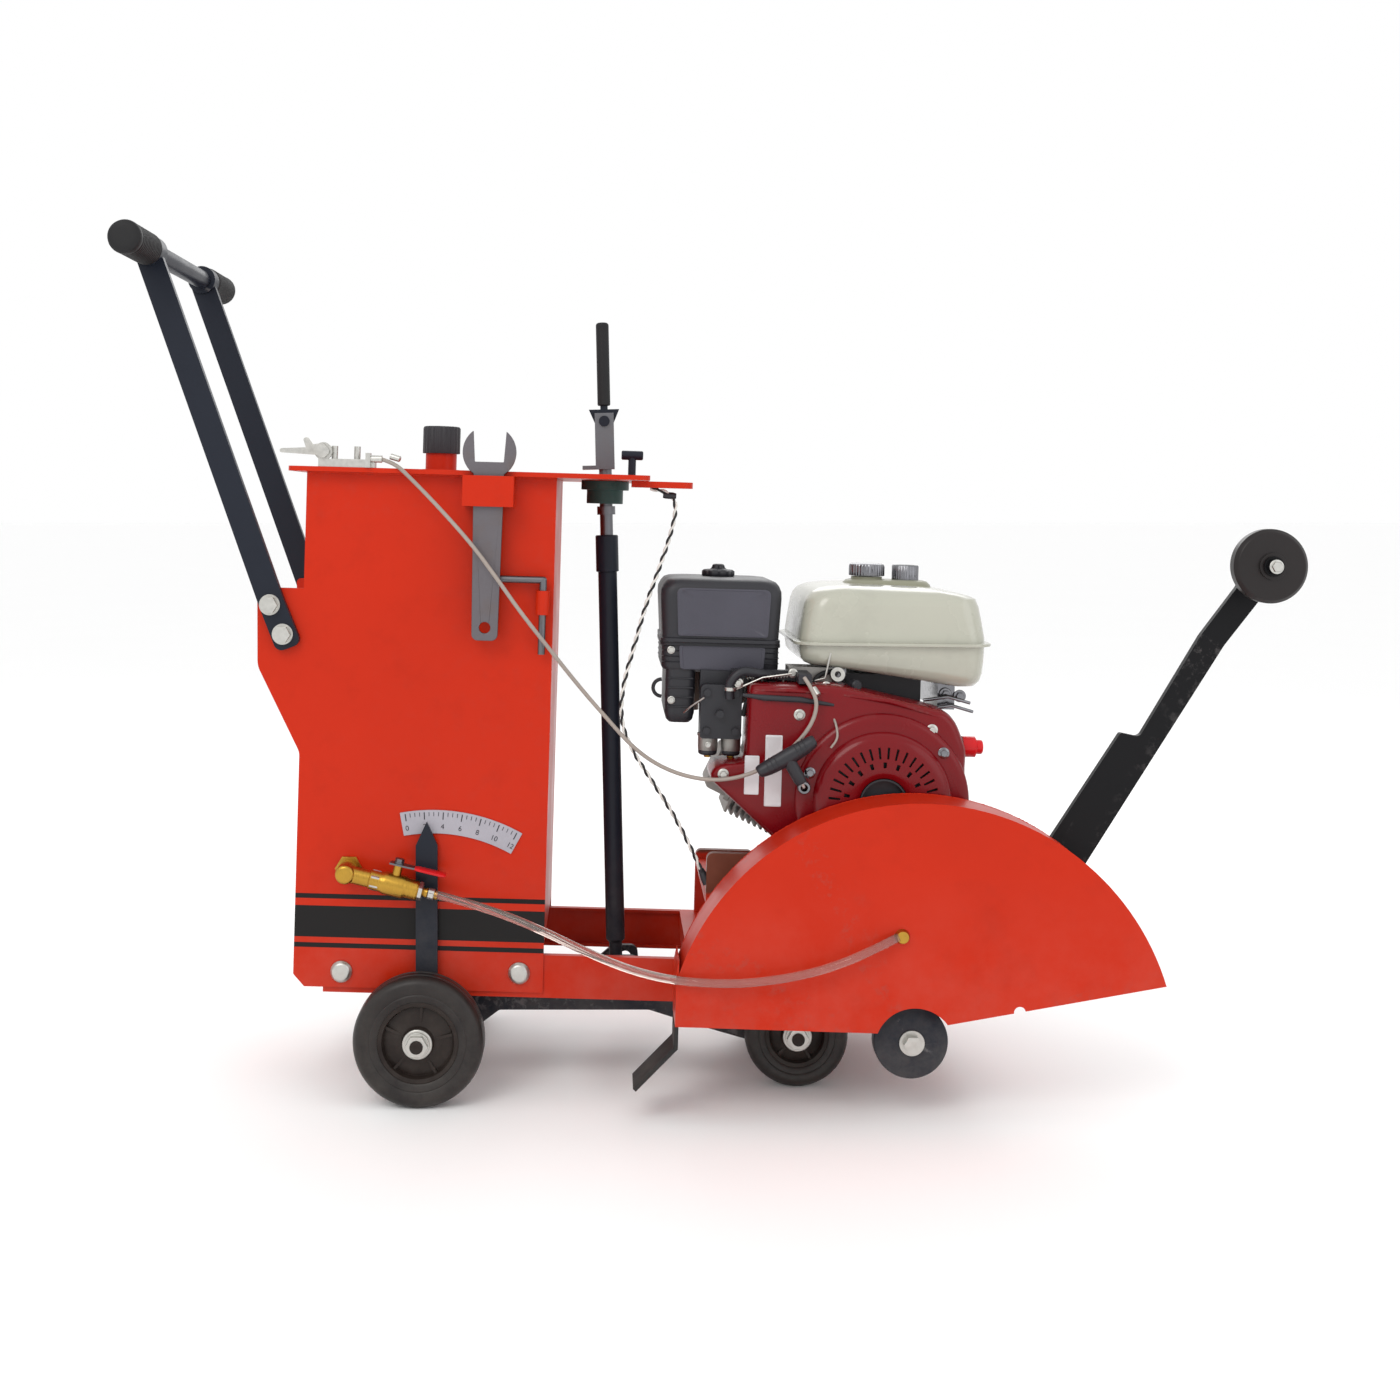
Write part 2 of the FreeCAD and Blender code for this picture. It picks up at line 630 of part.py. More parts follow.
def crankcase():
    outline = [(118, 262), (318, 262), (318, 430, 40), (255, 492, 25), (150, 492, 25), (118, 440, 12)]
    hole = CRANK_RADIUS + size["running_gap"]
    case = plate(outline, 168.0, -66.0)
    side = rod(72, 16, (CRANK[0], 102.0, CRANK[1]))
    shaft_hole = rod(hole, 240, (CRANK[0], -90, CRANK[1]))
    feet = [box((x, -78, 250), 40, 176, 12) for x in (110, 285)]
    filler = rod(13, 22, (300, -30, 300), Vector(0.8, -0.6, 0))
    ribs = [box((140 + i * 30, 102, 268), 5, 12, 45) for i in range(6)]
    bolts = [rod(6, 7, (x, y, 262), Z_AXIS) for x in (114, 321) for y in (-70, 90)]
    node("crankcase", joined(cut(joined(case, side, *feet, filler, *ribs), shaft_hole), *bolts))


def cylinder_head():
    """Finned barrel that leans up and back from the crankcase, with the valve cover on its end."""
    fins = []
    for i in range(8):
        reach = -26.0 - i * 8.5
        fins.append(box((reach, -52, -46), 3.2, 108, 92))
    core = box((-92, -36, -34), 92, 76, 68)
    rounded = plate([(-122, -30, 8), (-91, -30), (-91, 30), (-122, 30, 8)], 70.0, -34.0)
    plug = rod(6, 26, (-110, -60, 8), Y_AXIS)
    body = moved(joined(core, rounded, plug, *fins), HEAD_PLACE)
    node("cylinder_head", cut(body, box((118, -100, 240), 240, 240, 300)))


def fan_cover():
    length = COVER_BACK - COVER_FRONT
    outline = [(42, 521, 10), (150, 523, 12), (291, 492, 14), (313, 448, 20), (306, 300), (262, 262),
               (150, 262), (78, 330, 6), (-6, 404, 8), (2, 422, 6), (40, 424, 4)]
    inner = [(44.5, 518.5, 8), (150, 520.5, 10), (289.5, 489.5, 12), (310.5, 447.5, 18), (303.5, 302),
             (261, 264.5), (151, 264.5), (80, 334, 4), (-2, 405, 5), (4, 419.5, 4), (42.5, 421.5, 3)]
    solid = joined(rod("cover_radius", length, (CRANK[0], COVER_FRONT, CRANK[1])),
                   plate(outline, length - 8, COVER_FRONT + 8))
    hollow = joined(rod(size["cover_radius"] - 2.5, length, (CRANK[0], COVER_FRONT + 2.5, CRANK[1])),
                    plate(inner, length - 8, COVER_FRONT + 10.5))
    window = rod(78, 30, (CRANK[0], COVER_FRONT - 10, CRANK[1]))
    bed_cut = box((0, -200, 200), 400, 200, 51)
    node("fan_cover", cut(solid, hollow, window, bed_cut))


GRIP = Vector(86, -186, 438.6)
ROPE_EYE = Vector(109.8, -170, 399.3)


def starter_housing():
    shell = turned([(34, 0), (62, 0), (80, 4, 3), (86, 14), (83, 14), (77, 7, 2), (60, 3), (37, 3),
                    (37, 12), (34, 12)], (CRANK[0], COVER_FRONT - 14, CRANK[1]))
    slots = []
    for i in range(36):
        slot = box((-1.4, COVER_FRONT - 20, 54), 2.8, 16, 14)
        slots.append(moved(slot, FreeCAD.Placement(Vector(CRANK[0], 0, CRANK[1]),
                                                   FreeCAD.Rotation(Y_AXIS, i * 10))))
    eye = rod(8, 14, ROPE_EYE - Vector(0, 4, 0))
    eye_hole = rod(4, 40, ROPE_EYE - Vector(0, 20, 0))
    hub = rod(30, 3, (CRANK[0], COVER_FRONT - 6, CRANK[1]))
    spokes = box((CRANK[0] - 35, COVER_FRONT - 6, CRANK[1] - 4), 70, 3, 8)
    node("starter_housing", joined(cut(shell, *slots), cut(eye, eye_hole), hub, spokes))


def crankshaft():
    shaft = CRANK_RADIUS
    outline = [(0, -146), (14, -146), (14, -132), (96, -130), (98, -118), (30, -108), (30, -95),
               (shaft, -95), (shaft, 222), (0, 222)]
    bar = turned(outline, (CRANK[0], 0, CRANK[1]))
    node("crankshaft", group(bar, pulley(size["drive_radius"], CRANK[0], CRANK[1], shaft)))


def fuel_tank():
    low = [(113, 543, 14), (168, 543, 10), (206, 519, 10), (340, 519, 14), (346, 574), (108, 570)]
    high = [(108, 570), (346, 574), (339, 635, 22), (240, 646), (118, 646, 30)]
    lower = plate(low, 236.0, -112.0)
    upper = plate(high, 236.0, -112.0)
    seam = plate([(101, 568), (353, 572), (353, 576), (101, 572)], 250.0, -119.0)
    shelf = box((150, -60, 492), 120, 130, 40)
    filler = rod(20, 14, (205, 0, 640), Z_AXIS)
    gauge = rod(17.5, 34, (256, 0, 636), Z_AXIS)
    lugs = [box((x, -70, 486), 24, 140, 62) for x in (150, 290)]
    node("fuel_tank", cut(joined(lower, upper, seam, shelf, filler, gauge, *lugs),
                          plate([(100, 380), (318, 380), (318, 430, 40), (255, 492.2, 25), (100, 492.2)],
                                260.0, -130.0)))
    cap = turned([(0, 0), (23.5, 0, 1), (23.5, 17, 4), (0, 17)], (205, 0, 654.2), Z_AXIS)
    node("fuel_cap", cap)


def air_cleaner():
    base = plate([(-62, 531), (-60, 470, 10), (-22, 462, 10), (-20, 526), (82, 528), (84, 566), (-66, 566)],
                 150.0, -84.0)
    ring = cut(rod(11, 5, (-72, -60, 505)), rod(7.5, 9, (-72, -62, 505)))
    node("air_cleaner_base", joined(base, ring))
    body = plate([(-66, 566.3), (84, 566.3), (86, 648, 20), (-70, 648, 20)], 168.0, -94.0)
    rounded = doc.addObject("Part::Fillet", "rounded")
    rounded.Base = body
    doc.recompute()
    edges = [i + 1 for i, e in enumerate(body.Shape.Edges)
             if e.BoundBox.YLength < 1e-6 and e.BoundBox.ZMin > 570]
    rounded.Edges = [(i, 10.0, 10.0) for i in edges]
    knob = turned([(0, 0), (22, 0, 1), (22, 9, 3), (9, 10), (7, 17, 2), (0, 17)], (8, -10, 648), Z_AXIS)
    node("air_cleaner_cover", joined(rounded, knob))


def carburettor():
    block = plate([(-16, 448, 4), (36, 448, 4), (36, 516, 6), (-16, 516, 6)], 40.0, -112.0)
    bowls = [turned([(0, 0), (12, 0, 4), (12, 26), (0, 26)], (x, -98, 426), Z_AXIS) for x in (-5, 24)]
    choke = rod(5, 12, (8, -124, 480), Y_AXIS)
    screws = [rod(4.5, 5, (x, -117, z), Y_AXIS) for x in (-8, 28) for z in (458, 506)]
    clamp = box((102, -152, 524), 16, 44, 12)
    arm = joined(box((22, -108, 510), 14, 12, 26), box((22, -108, 524), 96, 12, 12))
    pipe = box((0, -72, 455), 30, 20, 30)
    node("carburettor", joined(block, *bowls, choke, *screws, pipe, arm, clamp))


def muffler():
    shell = plate([(-44, 470, 26), (70, 470, 26), (70, 600, 26), (-44, 600, 26)], 62.0, 86.0)
    pipe = rod(14, 24, (-20, 116, 458), Z_AXIS)
    outlet = rod(11, 30, (12, 140, 575), Y_AXIS)
    node("muffler", joined(shell, pipe, outlet))


def starter_pull():
    """Tee grip with its rope, parked with the stem towards the rope guide."""
    bar = turned([(0, -41), (8.5, -41, 5), (10.5, 0, 30), (8.5, 41, 5), (0, 41)])
    bar.Placement = FreeCAD.Placement(GRIP, FreeCAD.Rotation(Z_AXIS, Vector(71, 0, 43)))
    down = Vector(43, 0, -71).normalize()
    stem_end = GRIP + down * 38
    stem = rod(8, 38, GRIP, down)
    rope = rod(1.6, 13.5, stem_end, ROPE_EYE - Vector(0, 4, 0) - stem_end)
    node("starter_grip", joined(bar, stem, rope))


def engine_switch():
    body = turned([(0, 0), (13, 0), (13, 16), (9, 18), (9, 26, 3), (0, 26)],
                  (313.7, -112, 447), Vector(1, 0, 0))
    node("engine_switch", body)


# ---------------------------------------------------------------- controls on the top plate
THROTTLE = (-493.0, 795.0)


def throttle_controls():
    bracket = box((-489, -150, PLATE_TOP), 60, 16, 10)
    clamp = [rod(4, 16, (x, -142, PLATE_TOP + 10), Z_AXIS) for x in (-480, -452)]
    cheek = cut(joined(rod(11, 5, (THROTTLE[0], -150, THROTTLE[1])),
                       box((THROTTLE[0] - 6, -150, PLATE_TOP), 12, 5, 12)),
                rod(3.05, 20, (THROTTLE[0], -156, THROTTLE[1])))
    stop = joined(box((-440, -156, PLATE_TOP), 6, 12, 18), rod(4.5, 20, (-440, -150, 787), X_AXIS))
    node("throttle_bracket", joined(bracket, *clamp, cheek, stop))
    outline = [(-546, 792, 2), (-500, 790), (-493, 785, 5), (-483, 795, 5), (-493, 805, 5), (-505, 803),
               (-512, 812, 3), (-518, 810, 3), (-514, 799), (-546, 797, 2)]
    lever = plate(outline, 4.0, -154.3)
    pin = rod(3.0, 8, (THROTTLE[0], -154.3, THROTTLE[1]))
    node("throttle_lever", joined(lever, pin))


def spanner():
    head_z = 799.0
    ring = rod(33, 8, (SPANNER_X, -161, head_z))
    jaw = plate([(SPANNER_X - 18, head_z - 12), (SPANNER_X + 18, head_z - 12),
                 (SPANNER_X + 22, head_z + 50), (SPANNER_X - 22, head_z + 50)], 20, -170)
    handle = plate([(SPANNER_X - 16, 567, 8), (SPANNER_X + 16, 567, 8), (SPANNER_X + 19, 780),
                    (SPANNER_X - 19, 780)], 8, -161, (SPANNER_X, 583, 7))
    node("spanner", joined(cut(ring, jaw), handle))


def hex_key():
    long_leg = rod(4.5, 92, (KEY_X, KEY_Y, 551), Z_AXIS)
    corner = doc.addObject("Part::Sphere", "corner")
    corner.Radius = 4.5
    corner.Placement.Base = Vector(KEY_X, KEY_Y, 643)
    short_leg = rod(4.5, 56, (KEY_X, KEY_Y, 643), Vector(-1, 0, 0))
    node("hex_key", joined(long_leg, corner, short_leg))


def tank_cap():
    bore = 20.5 + 0.3
    outline = [(0, 44.3), (0, 60), (24.7, 60, 3), (24.7, 24, 1), (bore, 24), (bore, 44.3)]
    cap = turned(outline, (NECK_X, 0, PLATE_TOP), Z_AXIS)
    node("tank_cap", cap)


# ---------------------------------------------------------------- jack
JACK_FOOT = Vector(-112.09, 0, 131.39)
JACK = FreeCAD.Placement(JACK_FOOT, FreeCAD.Rotation(Y_AXIS, -size["jack_lean"]))
HUB_LOW = 655.0
FOLD_AT = 718.0


def jack_parts():
    screw = size["screw_radius"]
    flange = joined(rod(31.5, 12, (JACK_TOP_X, 0, 758), Z_AXIS), rod(24, 20, (JACK_TOP_X, 0, 740), Z_AXIS))
    bore = moved(rod(screw + size["running_gap"], 80, (0, 0, 580), Z_AXIS), JACK)
    node("jack_bearing", cut(flange, bore))

    stem = turned([(0, 200), (screw - 2, 200), ("screw_radius", 203), (screw, 595), (12, 595), (12, 606),
                   (screw, 606), (screw, HUB_LOW), (0, HUB_LOW)], (0, 0, 0), Z_AXIS)
    block = box((-12.5, -12.5, HUB_LOW), 25, 25, 32)
    tab = box((-30, -12.5, HUB_LOW), 18, 25, 5)
    ears = [box((-12.5, slab(side, 6.2, 6.3), HUB_LOW + 32), 25, 6.3, 42) for side in (-1, 1)]
    hole = rod(4.05, 60, (0, -30, FOLD_AT))
    node("jack_screw", cut(joined(stem, block, tab, *ears), hole), LEAN * JACK)

    tongue = plate([(-9, FOLD_AT - 10, 4), (9, FOLD_AT - 10, 4), (20, FOLD_AT + 16), (-20, FOLD_AT + 16)],
                   12.0, -6.0)
    pin = rod(4.0, 34, (0, -17, FOLD_AT))
    ends = [rod(7.0, 4, (0, y, FOLD_AT)) for y in (-17, 13)]
    core = rod(5.0, 100, (0, 0, FOLD_AT + 16), Z_AXIS)
    node("crank_handle", joined(tongue, pin, *ends, core), LEAN * JACK)
    grip = turned([(5, 739), (8.5, 739, 2), (8.5, 849, 4), (0, 849), (0, 834), (5, 834)], (0, 0, 0), Z_AXIS)
    node("crank_grip", grip, LEAN * JACK)

    outer = size["jack_tube_radius"]
    inner = screw + size["running_gap"]
    tube = turned([(0, -9), (8.5, -9), (8.5, 30), (outer, 34), (outer, 519), (15, 520), (15, 568, 2),
                   (inner, 568), (inner, 150), (0, 146)], (0, 0, 0), Z_AXIS)
    cross_pin = rod(6.0, 72, (0, -36, 0))
    node("jack_tube", joined(tube, cross_pin), LEAN * JACK)


# ---------------------------------------------------------------- front pointer
ROLLER_X, ROLLER_Z = 653.2, 687.0


def front_pointer():
    width = 10.0
    near = -165.0
    arm = plate([(322, 146, 12), (358, 146, 12), (621, 587, 60), (673, 657, 20), (673, 704, 14),
                 (645, 706, 14), (636, 660, 10), (592, 598.6, 60), (520.3, 472, 8), (497, 476.4, 3),
                 (312, 178)], width, near, (FOLD_X, FOLD_Z, 8.05))
    stub = rod(7.0, 85, (ROLLER_X, -232, ROLLER_Z))
    head = hex_bolt((ROLLER_X, -232, ROLLER_Z), Vector(0, -1, 0), 17, 6, 12)
    node("pointer_arm", joined(arm, stub, head))
    roller = turned([(7.05, 0), (16, 0), (16, 3), (40, 3, 3), ("roller_radius", 8), ("roller_radius", 20),
                     (40, 25, 3), (16, 25), (16, 28), (7.05, 28)], (ROLLER_X, -230.5, ROLLER_Z))
    node("pointer_roller", roller)


# ---------------------------------------------------------------- carriage and wheels
REAR = (size["rear_axle_x"], size["rear_wheel"])
FRONT = (size["front_axle_x"], size["front_wheel"])
SLOT_FROM = (PIVOT_X + 229.0, PIVOT_Z)
SLOT_TO = (PIVOT_X + 241.5, PIVOT_Z + 4.0)


def carriage_frame():
    def side_rail(side):
        outline = [(-430, 68, 6), (-290, 64, 8), (-262, 85, 8), (-70, 85, 8), (-10, 66, 8), (80, 40, 8),
                   (150, 40, 8), (150, 84, 8), (90, 96, 8), (40, 108, 8), (-296, 108, 8), (-318, 146, 22),
                   (-364, 146, 22), (-378, 104), (-430, 98, 6)]
        return plate(outline, 8.0, slab(side, 62.0, 8.0))

    def pivot_pin(side):
        return rod("axle_radius", 24, (PIVOT_X, 62 if side > 0 else -86, PIVOT_Z))

    def lug(side):
        outline = [(-135, 88), (-135, 128, 12), (-116, 144, 10), (-84, 144, 10), (-78, 88)]
        return plate(outline, 8.0, slab(side, 24.0, 8.0))

    angle = math.degrees(math.atan2(SLOT_TO[1] - SLOT_FROM[1], SLOT_TO[0] - SLOT_FROM[0]))
    length = math.hypot(SLOT_TO[0] - SLOT_FROM[0], SLOT_TO[1] - SLOT_FROM[1])
    slot_half = 7.2
    channel = moved(box((0, -60, -slot_half), length, 120, 2 * slot_half),
                    FreeCAD.Placement(Vector(SLOT_FROM[0], 0, SLOT_FROM[1]),
                                      FreeCAD.Rotation(Y_AXIS, -angle)))
    ends = [rod(slot_half, 120, (x, -60, z)) for x, z in (SLOT_FROM, SLOT_TO)]
    lugs = cut(joined(*both_sides(lug)), channel, *ends)
    rails = joined(*both_sides(side_rail))
    ties = [box((x, -62, z), 36, 124, 20) for x, z in ((-425, 72), (-215, 86), (30, 72))]
    jack_tie = box((-140, -62, 86), 68, 124, 16)
    sleeves = [rod(18, 40, (REAR[0], slab(side, 70, 40), REAR[1])) for side in (-1, 1)]
    rear_hole = rod(10, 500, (REAR[0], -250, REAR[1]))
    front_hole = rod(10, 300, (FRONT[0], -150, FRONT[1]))
    body = cut(joined(rails, *ties, jack_tie, *sleeves), rear_hole, front_hole)
    node("carriage_frame", joined(body, lugs, *both_sides(pivot_pin)), LEVEL)


def depth_pointer():
    tip = PIVOT_Z + 215
    x = -347.0
    outline = [(REAR[0] - 20, 62, 10), (REAR[0] + 20, 62, 10), (REAR[0] + 20, 100), (x + 13.5, 118),
               (x + 13.5, tip - 29), (x, tip), (x - 13.5, tip - 29), (x - 13.5, 118), (REAR[0] - 20, 100)]
    node("depth_pointer", plate(outline, 5.0, -147.0, (REAR[0], REAR[1], "axle_radius")), LEVEL)


def axle_shafts():
    def axle(half, where):
        pieces = [rod("axle_radius", 2 * half, (where[0], -half, where[1]))]
        for side in (-1, 1):
            pieces.append(hex_bolt((where[0], side * half, where[1]), Vector(0, side, 0), 24, 8, 15))
        return joined(*pieces)

    node("axle_shafts", group(axle(198.0, REAR), axle(120.0, FRONT)), LEVEL)


def wheel(name, centre, middle, radius, width):
    """Solid rubber tyre moulded on a dished hub."""
    rim = radius * 0.62
    half = width / 2
    place = (centre[0], middle, centre[1])
    tyre = turned([(rim, -half + 4), (radius - 8, -half, 3), (radius, -half + 8, 4),
                   (radius, half - 8, 4), (radius - 8, half, 3), (rim, half - 4)], place)
    node(name.replace("wheel", "tyre"), tyre, LEVEL)
    bore = size["axle_radius"] + size["running_gap"]
    hub = turned([(bore, -half), (18, -half, 2), (20, -half + 9), (rim - 8, -half + 13),
                  (rim - 5, -half + 4), (rim, -half + 4), (rim, half - 4), (rim - 5, half - 4),
                  (rim - 8, half - 13), (20, half - 9), (18, half, 2), (bore, half)], place)
    node(name.replace("wheel", "hub"), hub, LEVEL)


def wheels():
    for side_name, side in (("right", -1), ("left", 1)):
        wheel(f"rear_{side_name}_wheel", REAR, side * 174.0, size["rear_wheel"], 44.0)
        wheel(f"front_{side_name}_wheel", FRONT, side * 98.0, size["front_wheel"], 40.0)


# ---------------------------------------------------------------- cords, in the machine's own frame
THROTTLE_ROUTE = [
    (-403, -150, 789), (-386, -152, 784), (-368, -160, 768), (-333, -168, 733), (-290, -175, 686),
    (-259, -177, 644), (-230, -174, 602), (-194, -165, 555), (-158, -151, 508), (-127, -142, 471),
    (-87, -140, 426), (-44, -146, 401), (5, -158, 392), (49, -166, 400), (88, -168, 421), (118, -168, 449),
    (133, -167, 476), (133, -165, 500), (120, -151, 519),
]
HOSE_ROUTE = [
    (-334, -163, 254), (-304, -167, 247), (-267, -175, 238), (-232, -186, 228), (-200, -197, 217),
    (-166, -210, 204), (-127, -225, 190), (-87, -243, 180), (-42, -258, 174), (18, -265, 172),
    (66, -266, 176), (111, -266, 184), (150, -266, 196), (186, -264, 211), (218, -257, 225),
]
STOP_ROUTE = [
    (-68, -60, 753), (-46, -60, 751), (-34, -62, 735), (-39, -66, 704), (-55, -72, 656),
    (-74, -78, 606), (-88, -84, 556), (-103, -90, 507), (-107, -95, 461), (-94, -99, 425),
    (-71, -105, 390), (-44, -112, 350), (-22, -118, 310), (-3, -125, 270),
]


def cords():
    cord("throttle_cable", THROTTLE_ROUTE, 5.0)
    cord("water_hose", HOSE_ROUTE, 10.0)
    cord("stop_cable", STOP_ROUTE, 6.0)


def main():
    frame_rails()
    engine_bed()
    tank_housing()
    tank_top_plate()
    handle()
    frame_bolts()
    lock_knob()
    depth_scale()
    tool_holders()
    water_fittings()
    valve_handle()
    blade_guard()
    splash_flap()
    arbor_bearings()
    blade_shaft()
    belt_drive()
    crankcase()
    cylinder_head()
    fan_cover()
    starter_housing()
    crankshaft()
    fuel_tank()
    air_cleaner()
    carburettor()
    muffler()
    starter_pull()
    engine_switch()
    throttle_controls()
    spanner()
    hex_key()
    tank_cap()
    jack_parts()
    front_pointer()
    carriage_frame()
    depth_pointer()
    axle_shafts()
    wheels()
    cords()
    doc.recompute()
    for feature in doc.Objects:
        if "Invalid" in feature.State or "Error" in feature.State:
            raise RuntimeError(f"{feature.Label} failed: {feature.State}")
    for feature in nodes:
        if feature.Shape.isNull() or not feature.Shape.isValid():
            raise RuntimeError(f"{feature.Label} has no valid shape")
    os.makedirs("parts", exist_ok=True)
    for feature in nodes:
        feature.Shape.exportStep(f"parts/{feature.Label}.step")
    print(f"{len(nodes)} sub-parts written")


main()
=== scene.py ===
import bpy
import bmesh
import json
import math
import random
from mathutils import Matrix, Vector


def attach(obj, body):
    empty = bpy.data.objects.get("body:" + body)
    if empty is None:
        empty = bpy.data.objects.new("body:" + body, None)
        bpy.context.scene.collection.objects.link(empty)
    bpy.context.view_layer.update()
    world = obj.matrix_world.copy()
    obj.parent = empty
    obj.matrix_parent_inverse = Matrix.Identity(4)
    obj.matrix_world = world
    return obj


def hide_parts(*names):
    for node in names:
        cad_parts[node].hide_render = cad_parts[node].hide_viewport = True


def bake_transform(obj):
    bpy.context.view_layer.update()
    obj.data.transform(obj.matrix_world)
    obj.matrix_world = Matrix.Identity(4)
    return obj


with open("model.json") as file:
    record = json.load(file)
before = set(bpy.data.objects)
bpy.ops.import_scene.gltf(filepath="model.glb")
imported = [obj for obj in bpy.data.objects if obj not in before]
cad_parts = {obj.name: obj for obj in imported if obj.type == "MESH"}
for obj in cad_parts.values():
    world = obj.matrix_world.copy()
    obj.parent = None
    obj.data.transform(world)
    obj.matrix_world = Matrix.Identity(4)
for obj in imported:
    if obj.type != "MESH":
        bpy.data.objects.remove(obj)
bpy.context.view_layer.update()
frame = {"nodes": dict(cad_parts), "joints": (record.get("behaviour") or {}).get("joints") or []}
nodes = frame["nodes"]
tilt = [j for j in frame["joints"] if j["name"] == "depth_tilt"][0]

# The main frame is drawn level, in millimetres, and leans nose-down about the tilt pivot.
MM = 0.001
LEAN_ANGLE = math.radians(1.6)
PIVOT = Vector(tilt["pos_m"])
PIVOT_X, PIVOT_Z = round(PIVOT.x / MM, 3), round(PIVOT.z / MM, 3)
LEAN = Matrix.Translation(PIVOT) @ Matrix.Rotation(LEAN_ANGLE, 4, "Y") @ Matrix.Translation(-PIVOT)
TO_ROW = LEAN @ Matrix.Scale(MM, 4)
PLAIN = Matrix.Scale(MM, 4)


def add_object(name, data):
    thing = bpy.data.objects.new(name, data)
    bpy.context.scene.collection.objects.link(thing)
    return thing


# ---------------------------------------------------------------- node tools for materials
class Shader:
    """Small helper that builds one procedural material."""

    def __init__(self, name):
        self.material = bpy.data.materials.new(name)
        self.material.use_nodes = True
        self.tree = self.material.node_tree
        self.surface = self.tree.nodes["Principled BSDF"]
        self.place = self.tree.nodes.new("ShaderNodeTexCoord").outputs["Object"]

    def add(self, kind, **sockets):
        made = self.tree.nodes.new(kind)
        for key, value in sockets.items():
            self.put(made.inputs[key.replace("_", " ")], value)
        return made

    def put(self, socket, value):
        if isinstance(value, bpy.types.NodeSocket):
            self.tree.links.new(value, socket)
        else:
            socket.default_value = value

    def noise(self, scale, detail=4.0, rough=0.55, vector=None):
        made = self.add("ShaderNodeTexNoise", Scale=scale, Detail=detail, Roughness=rough)
        self.put(made.inputs["Vector"], vector or self.place)
        return made.outputs["Fac"]

    def ramp(self, value, low, high, out_low=0.0, out_high=1.0):
        made = self.tree.nodes.new("ShaderNodeMapRange")
        for index, entry in enumerate((value, low, high, out_low, out_high)):
            self.put(made.inputs[index], entry)
        return made.outputs[0]

    def math(self, operation, first, second=0.0):
        made = self.tree.nodes.new("ShaderNodeMath")
        made.operation = operation
        self.put(made.inputs[0], first)
        self.put(made.inputs[1], second)
        return made.outputs[0]

    def mix(self, share, first, second):
        made = self.tree.nodes.new("ShaderNodeMix")
        made.data_type = "RGBA"
        self.put(made.inputs[0], share)
        self.put(made.inputs[6], first)
        self.put(made.inputs[7], second)
        return made.outputs[2]

    def stretched(self, x, y, z):
        made = self.tree.nodes.new("ShaderNodeMapping")
        made.inputs["Scale"].default_value = (x, y, z)
        self.put(made.inputs["Vector"], self.place)
        return made.outputs[0]

    def axes(self):
        made = self.tree.nodes.new("ShaderNodeSeparateXYZ")
        self.put(made.inputs[0], self.place)
        return made.outputs

    def height(self):
        return self.axes()[2]

    def bump(self, height, strength, distance):
        return self.add("ShaderNodeBump", Strength=strength, Distance=distance, Height=height).outputs[0]

    def colour(self):
        return self.surface.inputs["Base Color"].links[0].from_socket

    def set(self, **values):
        for key, value in values.items():
            self.put(self.surface.inputs[key.replace("_", " ")], value)
        return self


def rgb(*chart):
    """Scene colour from the 0-255 values of a colour chart."""
    linear = [((c / 255 + 0.055) / 1.055) ** 2.4 if c > 10 else c / 255 / 12.92 for c in chart]
    return (*linear, 1.0)


def shade(colour, factor):
    return (*[min(1.0, c * factor) for c in colour[:3]], 1.0)


def edge_wear(shader, amount):
    """Mask that is high on convex edges, broken up by noise."""
    sharp = shader.tree.nodes.new("ShaderNodeNewGeometry").outputs["Pointiness"]
    edge = shader.ramp(sharp, 0.53, 0.60)
    spots = shader.ramp(shader.noise(60.0, 6.0, 0.7), 0.52, 0.62)
    return shader.math("MULTIPLY", shader.math("MULTIPLY", edge, spots), amount)


DUST = (0.36, 0.31, 0.26, 1.0)


def painted(name, colour, rough, coat, peel, dust, wear, shine=0.14, under=(0.12, 0.10, 0.09, 1.0)):
    """Enamel or powder coat: slow colour drift, orange peel, dust near the ground, chipped edges."""
    s = Shader(name)
    drift = s.noise(3.5, 5.0)
    body = s.mix(drift, shade(colour, 0.86), shade(colour, 1.12))
    grime = s.ramp(s.noise(22.0, 8.0, 0.65), 0.52, 0.78, 0.0, 0.22)
    body = s.mix(grime, body, shade(colour, 0.55))
    low = s.ramp(s.height(), 0.30, 0.03, 0.0, dust)
    dusty = s.math("MULTIPLY", low, s.ramp(s.noise(14.0, 8.0, 0.7), 0.35, 0.7))
    body = s.mix(dusty, body, DUST)
    body = s.mix(edge_wear(s, wear), body, under)
    gloss = s.ramp(s.noise(9.0, 6.0), 0.3, 0.7, rough - 0.06, rough + 0.12)
    gloss = s.math("ADD", gloss, s.math("MULTIPLY", dusty, 0.45))
    skin = s.bump(s.noise(420.0, 2.0), peel, 0.0006)
    s.set(Base_Color=body, Roughness=gloss, Coat_Weight=coat, Coat_Roughness=0.12, Normal=skin,
          Specular_IOR_Level=shine)
    return s


